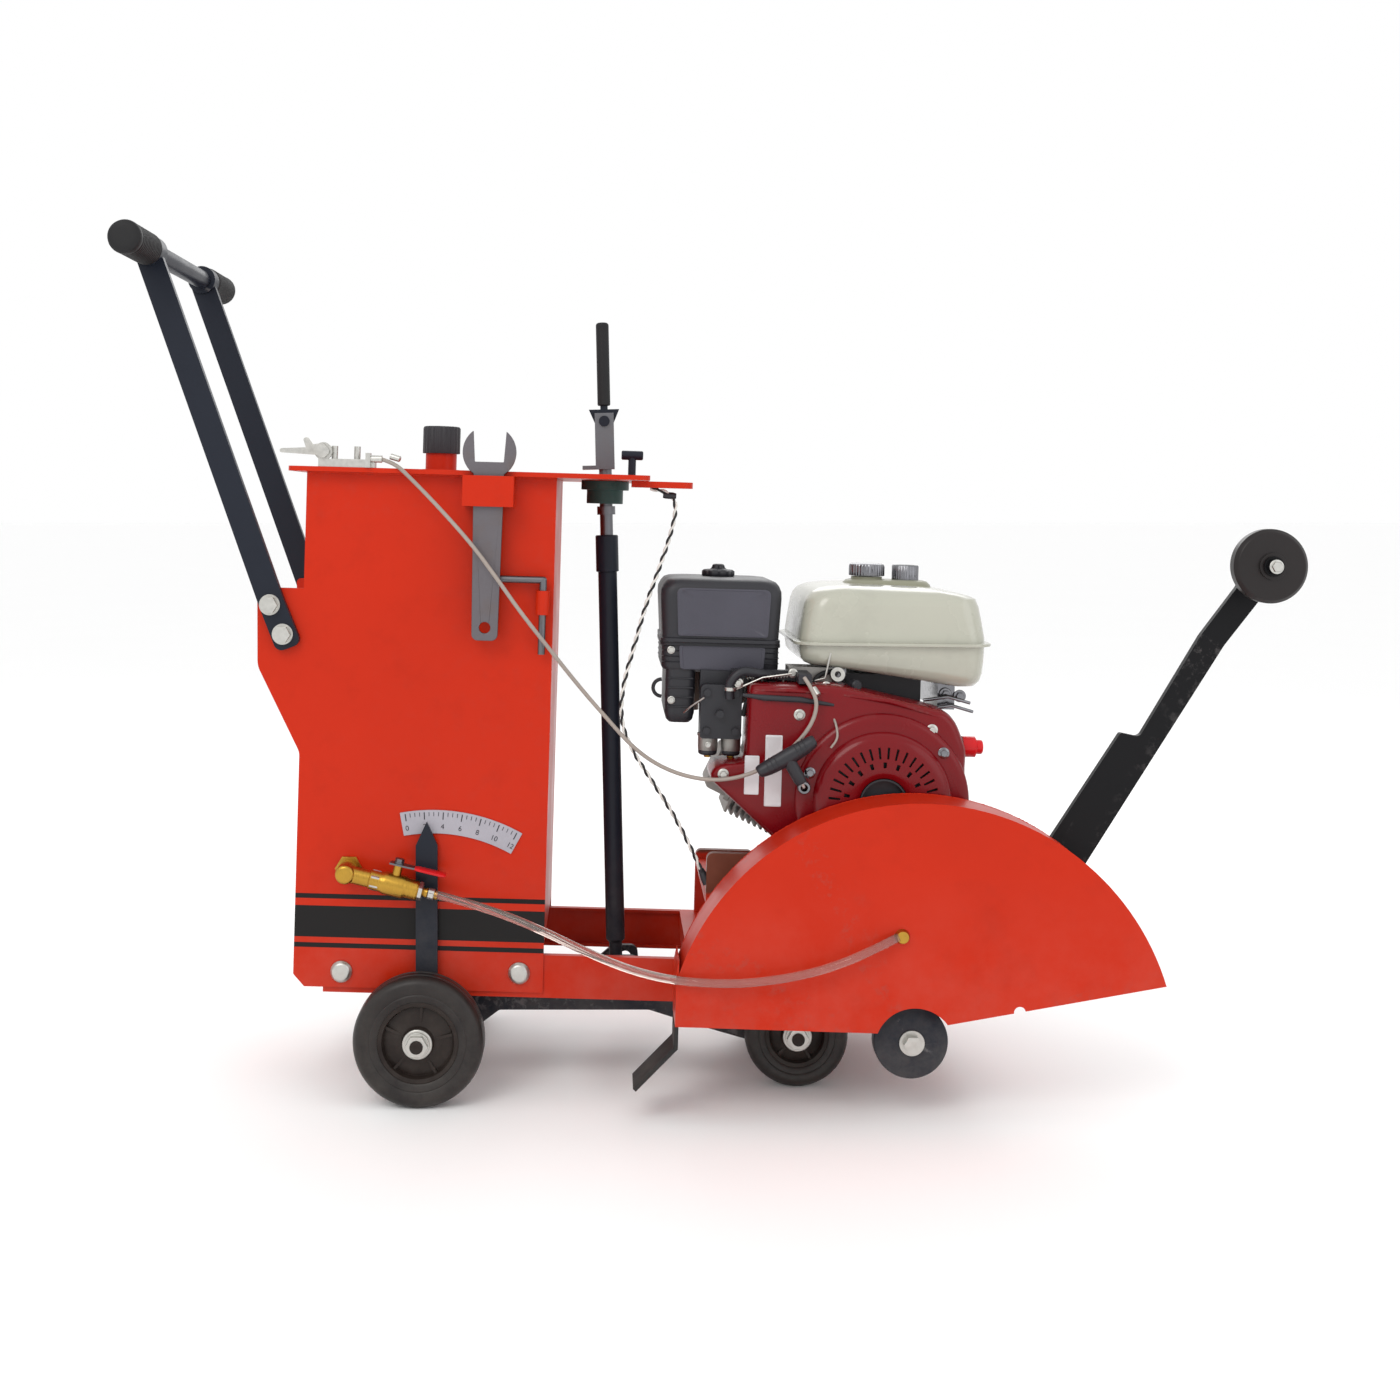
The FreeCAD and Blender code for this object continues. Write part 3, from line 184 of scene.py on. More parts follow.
def bare_metal(name, colour, rough, grain=(1.0, 1.0, 14.0), stain=0.25, tint=(0.16, 0.10, 0.06, 1.0)):
    """Plated or machined metal with fine brushed grain and faint staining."""
    s = Shader(name)
    brushed = s.noise(160.0, 3.0, 0.6, s.stretched(*grain))
    cloud = s.noise(26.0, 6.0, 0.6)
    body = s.mix(brushed, shade(colour, 0.80), shade(colour, 1.12))
    body = s.mix(s.ramp(cloud, 0.5, 0.85, 0.0, stain), body, tint)
    gloss = s.ramp(brushed, 0.2, 0.8, rough - 0.08, rough + 0.14)
    s.set(Base_Color=body, Roughness=gloss, Metallic=1.0, Normal=s.bump(brushed, 0.12, 0.0004))
    return s


def moulded(name, colour, rough, grain=650.0, depth=0.16, dust=0.15, shine=0.4):
    """Moulded plastic or rubber with a fine spark-eroded grain and a little dust."""
    s = Shader(name)
    cloud = s.noise(12.0, 6.0, 0.6)
    body = s.mix(cloud, shade(colour, 0.75), shade(colour, 1.3))
    low = s.ramp(s.height(), 0.25, 0.0, 0.0, dust)
    body = s.mix(s.math("MULTIPLY", low, s.ramp(s.noise(30.0, 8.0, 0.7), 0.3, 0.7)), body,
                 (0.30, 0.27, 0.23, 1.0))
    gloss = s.ramp(cloud, 0.3, 0.7, rough - 0.08, rough + 0.1)
    texture = s.bump(s.noise(grain, 2.0, 0.5), depth, 0.0005)
    s.set(Base_Color=body, Roughness=gloss, Normal=texture, Specular_IOR_Level=shine)
    return s


ORANGE = (0.50, 0.020, 0.003, 1.0)
CRIMSON = (0.17, 0.002, 0.005, 1.0)


# colour, roughness, coat, orange peel, dust, edge wear, shine, colour under the chips
PAINTED = {
    "orange_paint": (ORANGE, 0.34, 0.04, 0.05, 0.15, 0.18),
    "black_paint": ((0.014, 0.017, 0.026, 1), 0.36, 0.05, 0.06, 0.2, 0.6, 0.14, (0.16, 0.15, 0.15, 1.0)),
    "arm_black": ((0.006, 0.006, 0.007, 1), 0.4, 0.02, 0.06, 0.2, 0.5, 0.14, (0.12, 0.11, 0.11, 1.0)),
    "red_enamel": (CRIMSON, 0.22, 0.12, 0.04, 0.1, 0.25, 0.22),
    "tank_enamel": ((0.42, 0.42, 0.35, 1), 0.22, 0.5, 0.03, 0.1, 0.15, 0.5),
    "green_casting": (rgb(52, 74, 70), 0.45, 0.1, 0.25, 0.3, 0.6),
    "red_plastic": (rgb(205, 24, 30), 0.3, 0.3, 0.05, 0.1, 0.1),
    "aged_enamel": ((0.27, 0.27, 0.20, 1), 0.35, 0.2, 0.06, 0.1, 0.2),
    "hub_black": ((0.013, 0.008, 0.007, 1), 0.4, 0.1, 0.12, 0.1, 0.3),
}
# colour, roughness, stretch of the grain, stain, colour of the stain
METALS = {
    "zinc": (rgb(196, 195, 190), 0.34, (1, 1, 1), 0.3),
    "steel": (rgb(112, 112, 116), 0.36),
    "spanner_steel": (rgb(112, 108, 112), 0.46, (1, 1, 6), 0.4),
    "chrome": (rgb(128, 128, 132), 0.14, (1, 1, 1), 0.08),
    "brass": (rgb(186, 146, 62), 0.3, (6, 1, 1), 0.3, (0.18, 0.11, 0.04, 1)),
    "cast_alloy": (rgb(158, 156, 152), 0.52, (1, 1, 1), 0.45),
    "muffler_steel": (rgb(120, 112, 106), 0.5, (1, 1, 1), 0.8),
}
# colour, roughness, scale and depth of the grain, dust, shine
MOULDED = {
    "black_plastic": (rgb(38, 38, 43), 0.46),
    "grey_plastic": (rgb(66, 65, 75), 0.42),
    "rubber": ((0.010, 0.010, 0.011, 1), 0.6, 420.0, 0.25, 0.15, 0.3),
    "tyre_rubber": ((0.009, 0.006, 0.006, 1), 0.4, 260.0, 0.2, 0.12, 0.35),
    "grey_cable": (rgb(150, 140, 132), 0.45, 900.0, 0.1, 0.0),
    "black_lead": (rgb(26, 26, 28), 0.45, 900.0, 0.1, 0.0),
    "white_lead": (rgb(220, 218, 212), 0.45, 900.0, 0.1, 0.0),
    "label_stock": (rgb(206, 204, 206), 0.5, 900.0, 0.05, 0.1),
    "scale_plate": (rgb(158, 155, 163), 0.42, 200.0, 0.2, 0.1),
    "ink": (rgb(40, 40, 46), 0.5, 900.0, 0.05, 0.0),
}


def build_materials():
    made = {}
    for make, recipes in ((painted, PAINTED), (bare_metal, METALS), (moulded, MOULDED)):
        for name, recipe in recipes.items():
            made[name] = make(name, *recipe)
    made["bed_paint_and_shade"] = bed_paint_and_shade()
    made["clear_hose"] = clear_hose()
    made["tank_panel"] = striped_panel()
    return {name: shader.material for name, shader in made.items()}


def bed_paint_and_shade():
    """Frame paint, with the raised cheeks under the engine darkened to brown: painted shade, as they sit in
    shadow under the engine.
    """
    s = painted("bed_paint_and_shade", ORANGE, 0.4, 0.03, 0.06, 0.3, 0.7)
    # painted shade: the cheeks above 0.25 m get a dark brown in place of the orange
    shaded_cheek = s.ramp(s.height(), 0.246, 0.250)
    painted_shade_brown = s.mix(s.noise(30.0, 6.0), (0.11, 0.030, 0.018, 1.0), (0.20, 0.065, 0.040, 1.0))
    s.set(Base_Color=s.mix(shaded_cheek, s.colour(), painted_shade_brown))
    return s


def clear_hose():
    """Clear tube with water-stained walls: it takes the colour of whatever is behind it."""
    s = Shader("clear_hose")
    milk = s.noise(90.0, 4.0)
    body = s.mix(milk, (0.80, 0.66, 0.60, 1.0), (0.55, 0.42, 0.38, 1.0))
    s.set(Base_Color=body, Roughness=s.ramp(milk, 0.3, 0.7, 0.05, 0.16), Normal=s.bump(milk, 0.08, 0.0004))
    s.set(Transmission_Weight=0.9, IOR=1.36, Coat_Weight=0.2, Coat_Roughness=0.1)
    return s


STRIPES = ((239, 245), (191, 230), (178, 184))
STRIPES_STOP_Y = -130


def striped_panel():
    """The tank's paint with three black bands across the foot of its right side."""
    s = painted("tank_panel", ORANGE, 0.34, 0.04, 0.05, 0.15, 0.18)
    x, y, z = s.axes()
    lean = s.math("MULTIPLY", s.math("SUBTRACT", x, PIVOT.x), math.tan(LEAN_ANGLE))
    level = s.math("ADD", z, lean)
    mask = None
    for low, high in STRIPES:
        inside = s.math("MULTIPLY", s.math("GREATER_THAN", level, low * MM),
                        s.math("LESS_THAN", level, high * MM))
        mask = inside if mask is None else s.math("ADD", mask, inside)
    mask = s.math("MULTIPLY", mask, s.math("LESS_THAN", y, STRIPES_STOP_Y * MM))
    s.set(Base_Color=s.mix(mask, s.colour(), (0.012, 0.011, 0.011, 1.0)))
    return s


MATERIALS = build_materials()


def dress(thing, material):
    thing.data.materials.clear()
    thing.data.materials.append(MATERIALS[material])
    return thing


# ---------------------------------------------------------------- CAD nodes keep their shape
def soften_edges(thing, width, segments, angle):
    """Rounds the edges sharper than an angle, and evens the shading."""
    soften = thing.modifiers.new("soften", "BEVEL")
    soften.width = width * MM
    soften.segments = segments
    soften.limit_method = "ANGLE"
    soften.angle_limit = math.radians(angle)
    even = thing.modifiers.new("even", "WEIGHTED_NORMAL")
    even.keep_sharp = False


def smooth_cad(node, bevel):
    """Softens a CAD node's edges with modifiers; its own mesh stays as it is."""
    thing = nodes[node]
    weld = thing.modifiers.new("weld", "WELD")
    weld.merge_threshold = 0.00001
    soften_edges(thing, bevel, 2, 32)
    for face in thing.data.polygons:
        face.use_smooth = True
    return thing


# material and width of the softened edges, in millimetres
CAD_LOOK = {
    "frame_rails": ("orange_paint", 0.8), "engine_bed": ("bed_paint_and_shade", 0.8),
    "tank_housing": ("tank_panel", 0.9), "tank_top_plate": ("orange_paint", 0.9),
    "handle_frame": ("black_paint", 0.8), "frame_bolts": ("zinc", 0.4),
    "lock_knob": ("black_paint", 0.5), "depth_scale": ("scale_plate", 0.3),
    "tool_holders": ("orange_paint", 0.5), "water_fittings": ("brass", 0.4),
    "valve_handle": ("steel", 0.3), "blade_guard": ("orange_paint", 0.9),
    "splash_flap": ("rubber", 0.5), "arbor_bearings": ("green_casting", 1.0),
    "belt_guard": ("orange_paint", 0.9), "drive_belts": ("rubber", 0.4),
    "crankcase": ("cast_alloy", 1.2), "cylinder_head": ("cast_alloy", 0.3),
    "carburettor": ("black_plastic", 0.8), "muffler": ("muffler_steel", 0.8),
    "jack_bearing": ("green_casting", 0.8), "throttle_bracket": ("zinc", 0.4),
    "throttle_lever": ("zinc", 0.4), "carriage_frame": ("black_paint", 0.7),
    "depth_pointer": ("black_paint", 0.5), "axle_shafts": ("zinc", 0.4),
    "jack_screw": ("steel", 0.5), "crank_handle": ("black_paint", 0.4),
    "crank_grip": ("rubber", 0.4), "jack_tube": ("black_paint", 0.5),
    "pointer_arm": ("arm_black", 0.7), "pointer_roller": ("tyre_rubber", 0.4),
    "blade_shaft": ("steel", 0.4), "driven_pulley": ("cast_alloy", 0.4),
    "outer_flange": ("black_paint", 0.5), "arbor_bolt": ("zinc", 0.4),
    "crankshaft": ("cast_alloy", 0.4), "spanner": ("spanner_steel", 0.8),
    "hex_key": ("steel", 0.2), "engine_switch": ("red_plastic", 0.5),
}
for name, (material, bevel) in CAD_LOOK.items():
    dress(smooth_cad(name, bevel), material)


# ---------------------------------------------------------------- cords
THROTTLE_ROUTE = [
    (-403, -150, 789), (-386, -152, 784), (-368, -160, 768), (-333, -168, 733), (-290, -175, 686),
    (-259, -177, 644), (-230, -174, 602), (-194, -165, 555), (-158, -151, 508), (-127, -142, 471),
    (-87, -140, 426), (-44, -146, 401), (5, -158, 392), (49, -166, 400), (88, -168, 421),
    (118, -168, 449), (133, -167, 476), (133, -165, 500), (120, -151, 519),
]
HOSE_ROUTE = [
    (-334, -163, 254), (-304, -167, 247), (-267, -175, 238), (-232, -186, 228), (-200, -197, 217),
    (-166, -210, 204), (-127, -225, 190), (-87, -243, 180), (-42, -258, 174), (18, -265, 172),
    (66, -266, 176), (111, -266, 184), (150, -266, 196), (186, -264, 211), (218, -257, 225),
]
STOP_ROUTE = [
    (-68, -60, 753), (-46, -60, 751), (-34, -62, 735), (-39, -66, 704), (-55, -72, 656),
    (-74, -78, 606), (-88, -84, 556), (-103, -90, 507), (-107, -95, 461), (-94, -99, 425),
    (-71, -105, 390), (-44, -112, 350), (-22, -118, 310), (-3, -125, 270),
]


def nurbs(name, route, radius, material):
    """Smooth curve with the route's points, in metres, as its control points."""
    data = bpy.data.curves.new(name, "CURVE")
    data.dimensions = "3D"
    line = data.splines.new("NURBS")
    line.points.add(len(route) - 1)
    for point, place in zip(line.points, route):
        point.co = (*[c * MM for c in place], 1.0)
    line.order_u = 3
    line.use_endpoint_u = True
    data.resolution_u = 12
    data.bevel_depth = radius * MM
    data.bevel_resolution = 5
    data.use_fill_caps = True
    if material is not None:
        data.materials.append(MATERIALS[material])
    return add_object(name, data)


def route_length(route):
    """Length and points of the smooth line, read from a bare copy of the curve."""
    line = nurbs("measure", route, 0.0, None)
    mesh = bpy.data.meshes.new_from_object(line)
    points = [v.co.copy() for v in mesh.vertices]
    bpy.data.objects.remove(line)
    return sum((b - a).length for a, b in zip(points, points[1:])), points


def plain_cord(name, route, diameter, material, node, **facts):
    length, _ = route_length(route)
    thing = nurbs(name, route, diameter / 2, material)
    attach(thing, "main_frame")
    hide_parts(node)
    return thing


cable = plain_cord("throttle_cable_sheath", THROTTLE_ROUTE, 5.0, "grey_cable", "throttle_cable",
                   stiffness="stiff", lay="hanging")
hose = plain_cord("water_hose_tube", HOSE_ROUTE, 10.0, "clear_hose", "water_hose",
                  stiffness="medium", lay="hanging")


# ---------------------------------------------------------------- mesh tools
def upon(x, y, z, axis=(0, 0, 1)):
    """Placement at a point with local Z along the axis, in millimetres."""
    return Matrix.Translation((x, y, z)) @ Vector(axis).to_track_quat("Z", "Y").to_matrix().to_4x4()


def turned(degrees):
    return Matrix.Rotation(math.radians(degrees), 4, "Z")


def heading(points, i):
    """Direction of a line at one of its points."""
    return (points[min(i + 1, len(points) - 1)] - points[max(i - 1, 0)]).normalized()


def square_to(ahead):
    """Two unit vectors square to a direction and to each other."""
    side = ahead.orthogonal().normalized()
    return side, ahead.cross(side)


def swing(side, other, angle, reach):
    return (side * math.cos(angle) + other * math.sin(angle)) * reach


def on_arc(x, z, radius, degrees, y):
    """Point on an upright circle, counted forwards from its top."""
    angle = math.radians(degrees)
    return (x + radius * math.sin(angle), y, z + radius * math.cos(angle))


def rounded(x0, x1, y0, y1, radius, z, slope=0.0):
    """Rounded rectangle in a level plane, as one ring of points."""
    ring = []
    steps = 8
    middle = (x0 + x1) / 2
    for cx, cy, start in ((x1 - radius, y1 - radius, 0), (x0 + radius, y1 - radius, 90),
                          (x0 + radius, y0 + radius, 180), (x1 - radius, y0 + radius, 270)):
        for k in range(steps + 1):
            a = math.radians(start + 90 * k / steps)
            x = cx + radius * math.cos(a)
            ring.append((x, cy + radius * math.sin(a), z + slope * (x - middle)))
    return ring


class Form:
    """Closed shapes in millimetres, gathered into one mesh piece."""

    def __init__(self):
        self.verts, self.faces, self.paint = [], [], []

    def add(self, verts, faces, place=Matrix(), paint=0):
        start = len(self.verts)
        self.verts += [place @ Vector(v) for v in verts]
        self.faces += [[start + i for i in face] for face in faces]
        self.paint += [paint] * len(faces)
        return self

    def skin(self, rings, place=Matrix(), paint=0, loop=False):
        count, total = len(rings[0]), len(rings)
        faces = []
        for r in range(total if loop else total - 1):
            a, b = r * count, (r + 1) % total * count
            faces += [(a + i, a + (i + 1) % count, b + (i + 1) % count, b + i) for i in range(count)]
        if not loop:
            faces += [tuple(reversed(range(count))), tuple(range((total - 1) * count, total * count))]
        return self.add([p for ring in rings for p in ring], faces, place, paint)

    def lathe(self, profile, place=Matrix(), paint=0, turns=48, loop=False, knurl=0.0, lobes=0):
        """Profile of (radius, height) about local Z; knurl pulls in every other point or lobe."""
        rings = []
        for radius, height in profile:
            ring = []
            for k in range(turns):
                a = 2 * math.pi * k / turns
                dip = knurl * (0.5 - 0.5 * math.cos(lobes * a)) if radius > 3 * knurl else 0.0
                ring.append(((radius - dip) * math.cos(a), (radius - dip) * math.sin(a), height))
            rings.append(ring)
        return self.skin(rings, place, paint, loop)

    def tube(self, points, radius, paint=0, sides=12):
        """Round bar along a line; the radius is one number, or a list with one for each point."""
        points = [Vector(p) for p in points]
        rings, normal = [], None
        for i, point in enumerate(points):
            ahead = heading(points, i)
            normal = ahead.orthogonal() if normal is None else normal - ahead * normal.dot(ahead)
            normal.normalize()
            other = ahead.cross(normal)
            wide = radius[i] if isinstance(radius, list) else radius
            rings.append([point + swing(normal, other, 2 * math.pi * k / sides, wide) for k in range(sides)])
        return self.skin(rings, paint=paint)

    def block(self, low, high, place=Matrix(), paint=0):
        (x0, y0, z0), (x1, y1, z1) = low, high
        corners = [(x, y, z) for z in (z0, z1) for x, y in ((x0, y0), (x1, y0), (x1, y1), (x0, y1))]
        return self.skin([corners[:4], corners[4:]], place, paint)

    def bolt(self, place, across=10.0, height=6.0, washer=8.0, paint=0):
        """Washer and hexagon head with a rounded crown."""
        self.lathe([(washer, 0), (washer, 1.2), (washer - 0.5, 1.6), (0.5, 1.6)], place, paint, 28)
        hexagon = across / math.sqrt(3)
        head = [(hexagon * 0.99, 1.6), (hexagon, 2.0), (hexagon, height - 0.8), (hexagon * 0.9, height),
                (0.5, height + 0.1)]
        return self.lathe(head, place, paint, 6)

    def piece(self, name, materials, body="main_frame", nodes=(), place=TO_ROW, bevel=0.0,
              sharp=35, wall=0.0):
        """The finished mesh piece; wall thickens an open sheet, sharp is an angle in degrees."""
        mesh = bpy.data.meshes.new(name)
        mesh.from_pydata([place @ v for v in self.verts], [], self.faces)
        for face, paint in zip(mesh.polygons, self.paint):
            face.material_index = paint
            face.use_smooth = True
        work = bmesh.new()
        work.from_mesh(mesh)
        bmesh.ops.recalc_face_normals(work, faces=work.faces)
        work.to_mesh(mesh)
        work.free()
        if not bevel:
            mesh.set_sharp_from_angle(angle=math.radians(sharp))
        thing = add_object(name, mesh)
        for material in materials:
            mesh.materials.append(MATERIALS[material])
        if wall:
            shell = thing.modifiers.new("wall", "SOLIDIFY")
            shell.thickness = wall * MM
            shell.offset = -1
        if bevel:
            soften_edges(thing, bevel, 3, sharp)
        if body:
            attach(thing, body)
        if nodes:
            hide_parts(*nodes)
        return thing


# ---------------------------------------------------------------- fuel tank
FUEL_CAP_X, GAUGE_X = 205, 256
NECK_X, NECK_Z = -362, 776


def fuel_tank():
    form = Form()

    def section(inset, radius, z, rear=0.0, front=0.0, drop=0.0, fall=0.0):
        """One level of the tank; drop hangs the front of the floor lower, fall slopes the top forward."""
        ring = rounded(107.0 + inset + rear, 346.0 - inset - front, -113.0 + inset, 125.0 - inset,
                       radius, z, slope=0.016)
        points = []
        for x, y, h in ring:
            step = min(1.0, max(0.0, (x - 163.0) / 46.0))
            ahead = max(0.0, (x - 235.0) / 100.0)
            points.append((x, y, h - drop * step * step * (3 - 2 * step) - fall * ahead))
        return points

    floor = [section(26, 12, 543.5, 6, 0, 25), section(13, 18, 544.5, 3, 0, 24.5),
             section(7, 22, 548, 1, 0, 22), section(4, 24, 553, 0, 0, 17), section(2.4, 26, 562, 0, 0, 8),
             section(2, 26, 571)]
    seam = [section(-3, 30, 570.2), section(-5.4, 31, 570.8), section(-5.8, 31, 572.5),
            section(-5.4, 31, 574.2), section(-3, 30, 574.8)]
    upper = [section(2, 26, 574), section(2.2, 26, 580), section(3.6, 27, 600, 1, 2),
             section(5.5, 28, 620, 2, 4), section(7.5, 29, 630, 3, 6), section(11.5, 31, 637, 5, 9, fall=4),
             section(18, 32, 641.5, 8, 13, fall=7), section(30, 32, 644.4, 13, 18, fall=8),
             section(48, 28, 645.6, 18, 26, fall=8)]
    for shell in (floor, seam, upper):
        form.skin(shell)
    form.skin([rounded(170, 292, -36, 36, 32, 634), rounded(174, 288, -33, 33, 30, 645),
               rounded(178, 284, -30, 30, 28, 649), rounded(184, 278, -24, 24, 22, 650.5)], paint=1)
    form.lathe([(20, 648), (20.5, 653.6), (18, 653.8)], upon(FUEL_CAP_X, 0, 0), 1)
    gauge = upon(GAUGE_X, 0, 0)
    form.lathe([(15.5, 646), (17.3, 648), (17.5, 650), (17.5, 668.4), (16.4, 670), (6, 670)], gauge, 2, 144,
               knurl=0.5, lobes=36)
    form.lathe([(12.5, 669.5), (12.5, 670.1), (11, 670.2), (1, 670.2)], gauge, 3)
    for x in (150, 290):
        form.block((x, -68, 488), (x + 22, 68, 536), paint=2)
    form.block((150, -58, 494), (270, 66, 530), paint=3)
    for x, z in ((160, 530), (300, 508), (318, 506)):
        form.bolt(upon(x, -70, z, (0, -1, 0)), 9, 6, 8, 2)
    for x0, x1, z in ((270, 330, 500), (276, 334, 489)):
        form.tube([(x0, -78, z), ((x0 + x1) / 2, -84, z + 6), (x1, -76, z - 2)], 2.2, paint=2)
    form.piece("fuel_tank_shell", ["tank_enamel", "aged_enamel", "chrome", "black_plastic"],
               nodes=["fuel_tank"], sharp=38)
    cap = Form()
    cap.lathe([(19, 654.6), (23.2, 654.8), (23.4, 656), (23.4, 667), (22.4, 669.6), (20, 671), (1, 671.2)],
              upon(FUEL_CAP_X, 0, 0), 0, 160, knurl=0.6, lobes=40)
    cap.piece("fuel_cap_knurled", ["chrome"], body="petrol_cap", nodes=["fuel_cap"])
    filler = Form()
    edge = [(20.9, 24.2), (24.5, 24.2), (24.7, 26), (24.7, 57), (23.6, 59.4), (21.4, 60), (1, 60), (1, 44.4),
            (20.9, 44.4)]
    filler.lathe(edge, upon(NECK_X, 0, NECK_Z), 0, 144, loop=True, knurl=0.9, lobes=24)
    filler.piece("filler_cap_ribbed", ["black_plastic"], body="filler_cap",
                 nodes=["tank_cap"], sharp=50)


# ---------------------------------------------------------------- air cleaner
def air_cleaner():
    form = Form()

    def section(inset, radius, z, flare=0.0):
        return rounded(-68 + inset - flare, 85 - inset + flare * 0.6, -94 + inset, 74 - inset, radius, z)

    form.skin([section(1.5, 14, 566.4), section(0.2, 15, 567.2), section(0.2, 15, 571.5),
               section(1.8, 14, 572.4)])
    form.skin([section(2.4, 14, 571), section(2.0, 14, 574), section(1.0, 15, 600, 0.6),
               section(0.2, 16, 624, 1.4), section(0.5, 17, 633, 1.4), section(2.4, 18, 640),
               section(6.5, 18, 645), section(13, 17, 647.4), section(24, 14, 648.4), section(50, 8, 648.9)])
    panel = [(-46, 575, 4), (68, 575, 4), (71, 636, 9), (-49, 636, 9)]
    form.skin(upright_panel(panel, -95.2, 1.6), paint=1)
    knob = [(20, 648.6), (21.6, 650), (21.6, 655.5), (19, 657.6), (11, 658.4), (9, 660), (7.4, 664),
            (5.5, 665), (1, 665)]
    form.lathe(knob, upon(8, -10, 0), 2, 96, knurl=2.6, lobes=6)
    form.piece("air_cleaner_shell", ["black_plastic", "grey_plastic", "black_plastic"],
               nodes=["air_cleaner_cover"], sharp=50)
    case = Form()

    def lower(inset, radius, z):
        return rounded(-66 + inset, 84 - inset, -84 + inset, 66 - inset, radius, z)

    case.skin([lower(8, 10, 528.5), lower(2, 13, 531), lower(0, 14, 535), lower(0, 14, 561),
               lower(-2, 15, 562), lower(-2, 15, 566), lower(1, 14, 566.2)])
    for z in (541, 548, 555):
        case.skin([lower(-0.1, 14, z - 0.9), lower(-1.0, 14.5, z), lower(-0.1, 14, z + 0.9)])
    duct = [rounded(-60, -22, -82, 62, 10, z) for z in (532, 500, 476)]
    duct += [rounded(-58, -24, -80, 60, 10, 467), rounded(-54, -28, -76, 56, 8, 463)]
    case.skin(duct)
    case.skin(upright_panel([(-42, 532, 5), (64, 532, 5), (66, 562, 3), (-44, 562, 3)], -86.6, 1.4), paint=2)
    for z in (520, 508, 496, 484):
        case.tube([(-57, -82.4, z), (-25, -82.4, z)], 1.1, sides=8)
    case.tube([on_arc(-64, 505, 11, -angle, -60) for angle in range(0, 181, 15)], 2.4, sides=10)
    case.bolt(upon(-52, -82, 492, (0, -1, 0)), 7, 4, 5, 1)
    case.bolt(upon(-54, -84, 556, (0, -1, 0)), 7, 3, 5, 1)
    case.piece("air_cleaner_case", ["black_plastic", "zinc", "grey_plastic"],
               nodes=["air_cleaner_base"], sharp=40)


def upright_panel(corners, y, proud):
    """Rings of a thin raised panel standing in the X-Z plane; corners are (x, z, radius)."""
    outline = []
    count = len(corners)
    for i, (x, z, radius) in enumerate(corners):
        here = Vector((x, z))
        back = (Vector(corners[i - 1][:2]) - here).normalized()
        ahead = (Vector(corners[(i + 1) % count][:2]) - here).normalized()
        for k in range(7):
            t = k / 6
            outline.append(here + back * radius * (1 - t) ** 2 + ahead * radius * t ** 2)
    middle = sum(outline, Vector((0, 0))) / len(outline)

    def ring(shrink, depth):
        return [(middle.x + (p.x - middle.x) * shrink, depth, middle.y + (p.y - middle.y) * shrink)
                for p in outline]

    return [ring(1.0, y + proud), ring(1.0, y + 0.3 * proud), ring(0.985, y), ring(0.93, y),
            ring(0.92, y + 0.35 * proud), ring(0.5, y + 0.35 * proud)]


# ---------------------------------------------------------------- fan shroud and recoil starter
CRANK_X, CRANK_Z, FRONT_Y = 208.0, 383.0, -160.0
COVER_RADIUS = 108.0
ROPE_START, ROPE_END = Vector((109.8, -170, 399.3)), Vector((105.7, -186, 406.1))
SHROUD_CENTRE = Vector((150.0, 400.0))
SHROUD_FOOT = 251.6
SHROUD = [(42, 521), (150, 523), (288, 494), (300, 480), (313, 448), (306, 300), (262, 262), (150, 262),
          (78, 330), (-6, 404), (2, 422), (40, 424)]


def shroud_outline():
    """Outer edge of the fan cylinder joined with the duct plate, as seen from a point inside both."""
    centre = SHROUD_CENTRE
    hub = Vector((CRANK_X, CRANK_Z)) - centre
    angles = [math.radians(3 * k) for k in range(120)]
    angles += [math.atan2(z - centre.y, x - centre.x) % (2 * math.pi) for x, z in SHROUD]
    outline = []
    for angle in sorted(set(angles)):
        ray = Vector((math.cos(angle), math.sin(angle)))
        along = hub.dot(ray)
        under = COVER_RADIUS ** 2 - (hub.length_squared - along ** 2)
        reach = along + math.sqrt(under) if under > 0 else 0.0
        for i, (x, z) in enumerate(SHROUD):
            a = Vector((x, z)) - centre
            b = Vector(SHROUD[(i + 1) % len(SHROUD)]) - centre
            edge = b - a
            cross = ray.x * edge.y - ray.y * edge.x
            if abs(cross) > 1e-9:
                t = (a.x * edge.y - a.y * edge.x) / cross
                s = (a.x * ray.y - a.y * ray.x) / cross
                if t > 0 and -1e-6 <= s <= 1 + 1e-6:
                    reach = max(reach, t)
        outline.append(centre + ray * reach)
    for _ in range(2):
        outline = [(outline[i - 1] + p * 2 + outline[(i + 1) % len(outline)]) / 4
                   for i, p in enumerate(outline)]
    return [Vector((p.x, max(p.y, SHROUD_FOOT))) for p in outline]


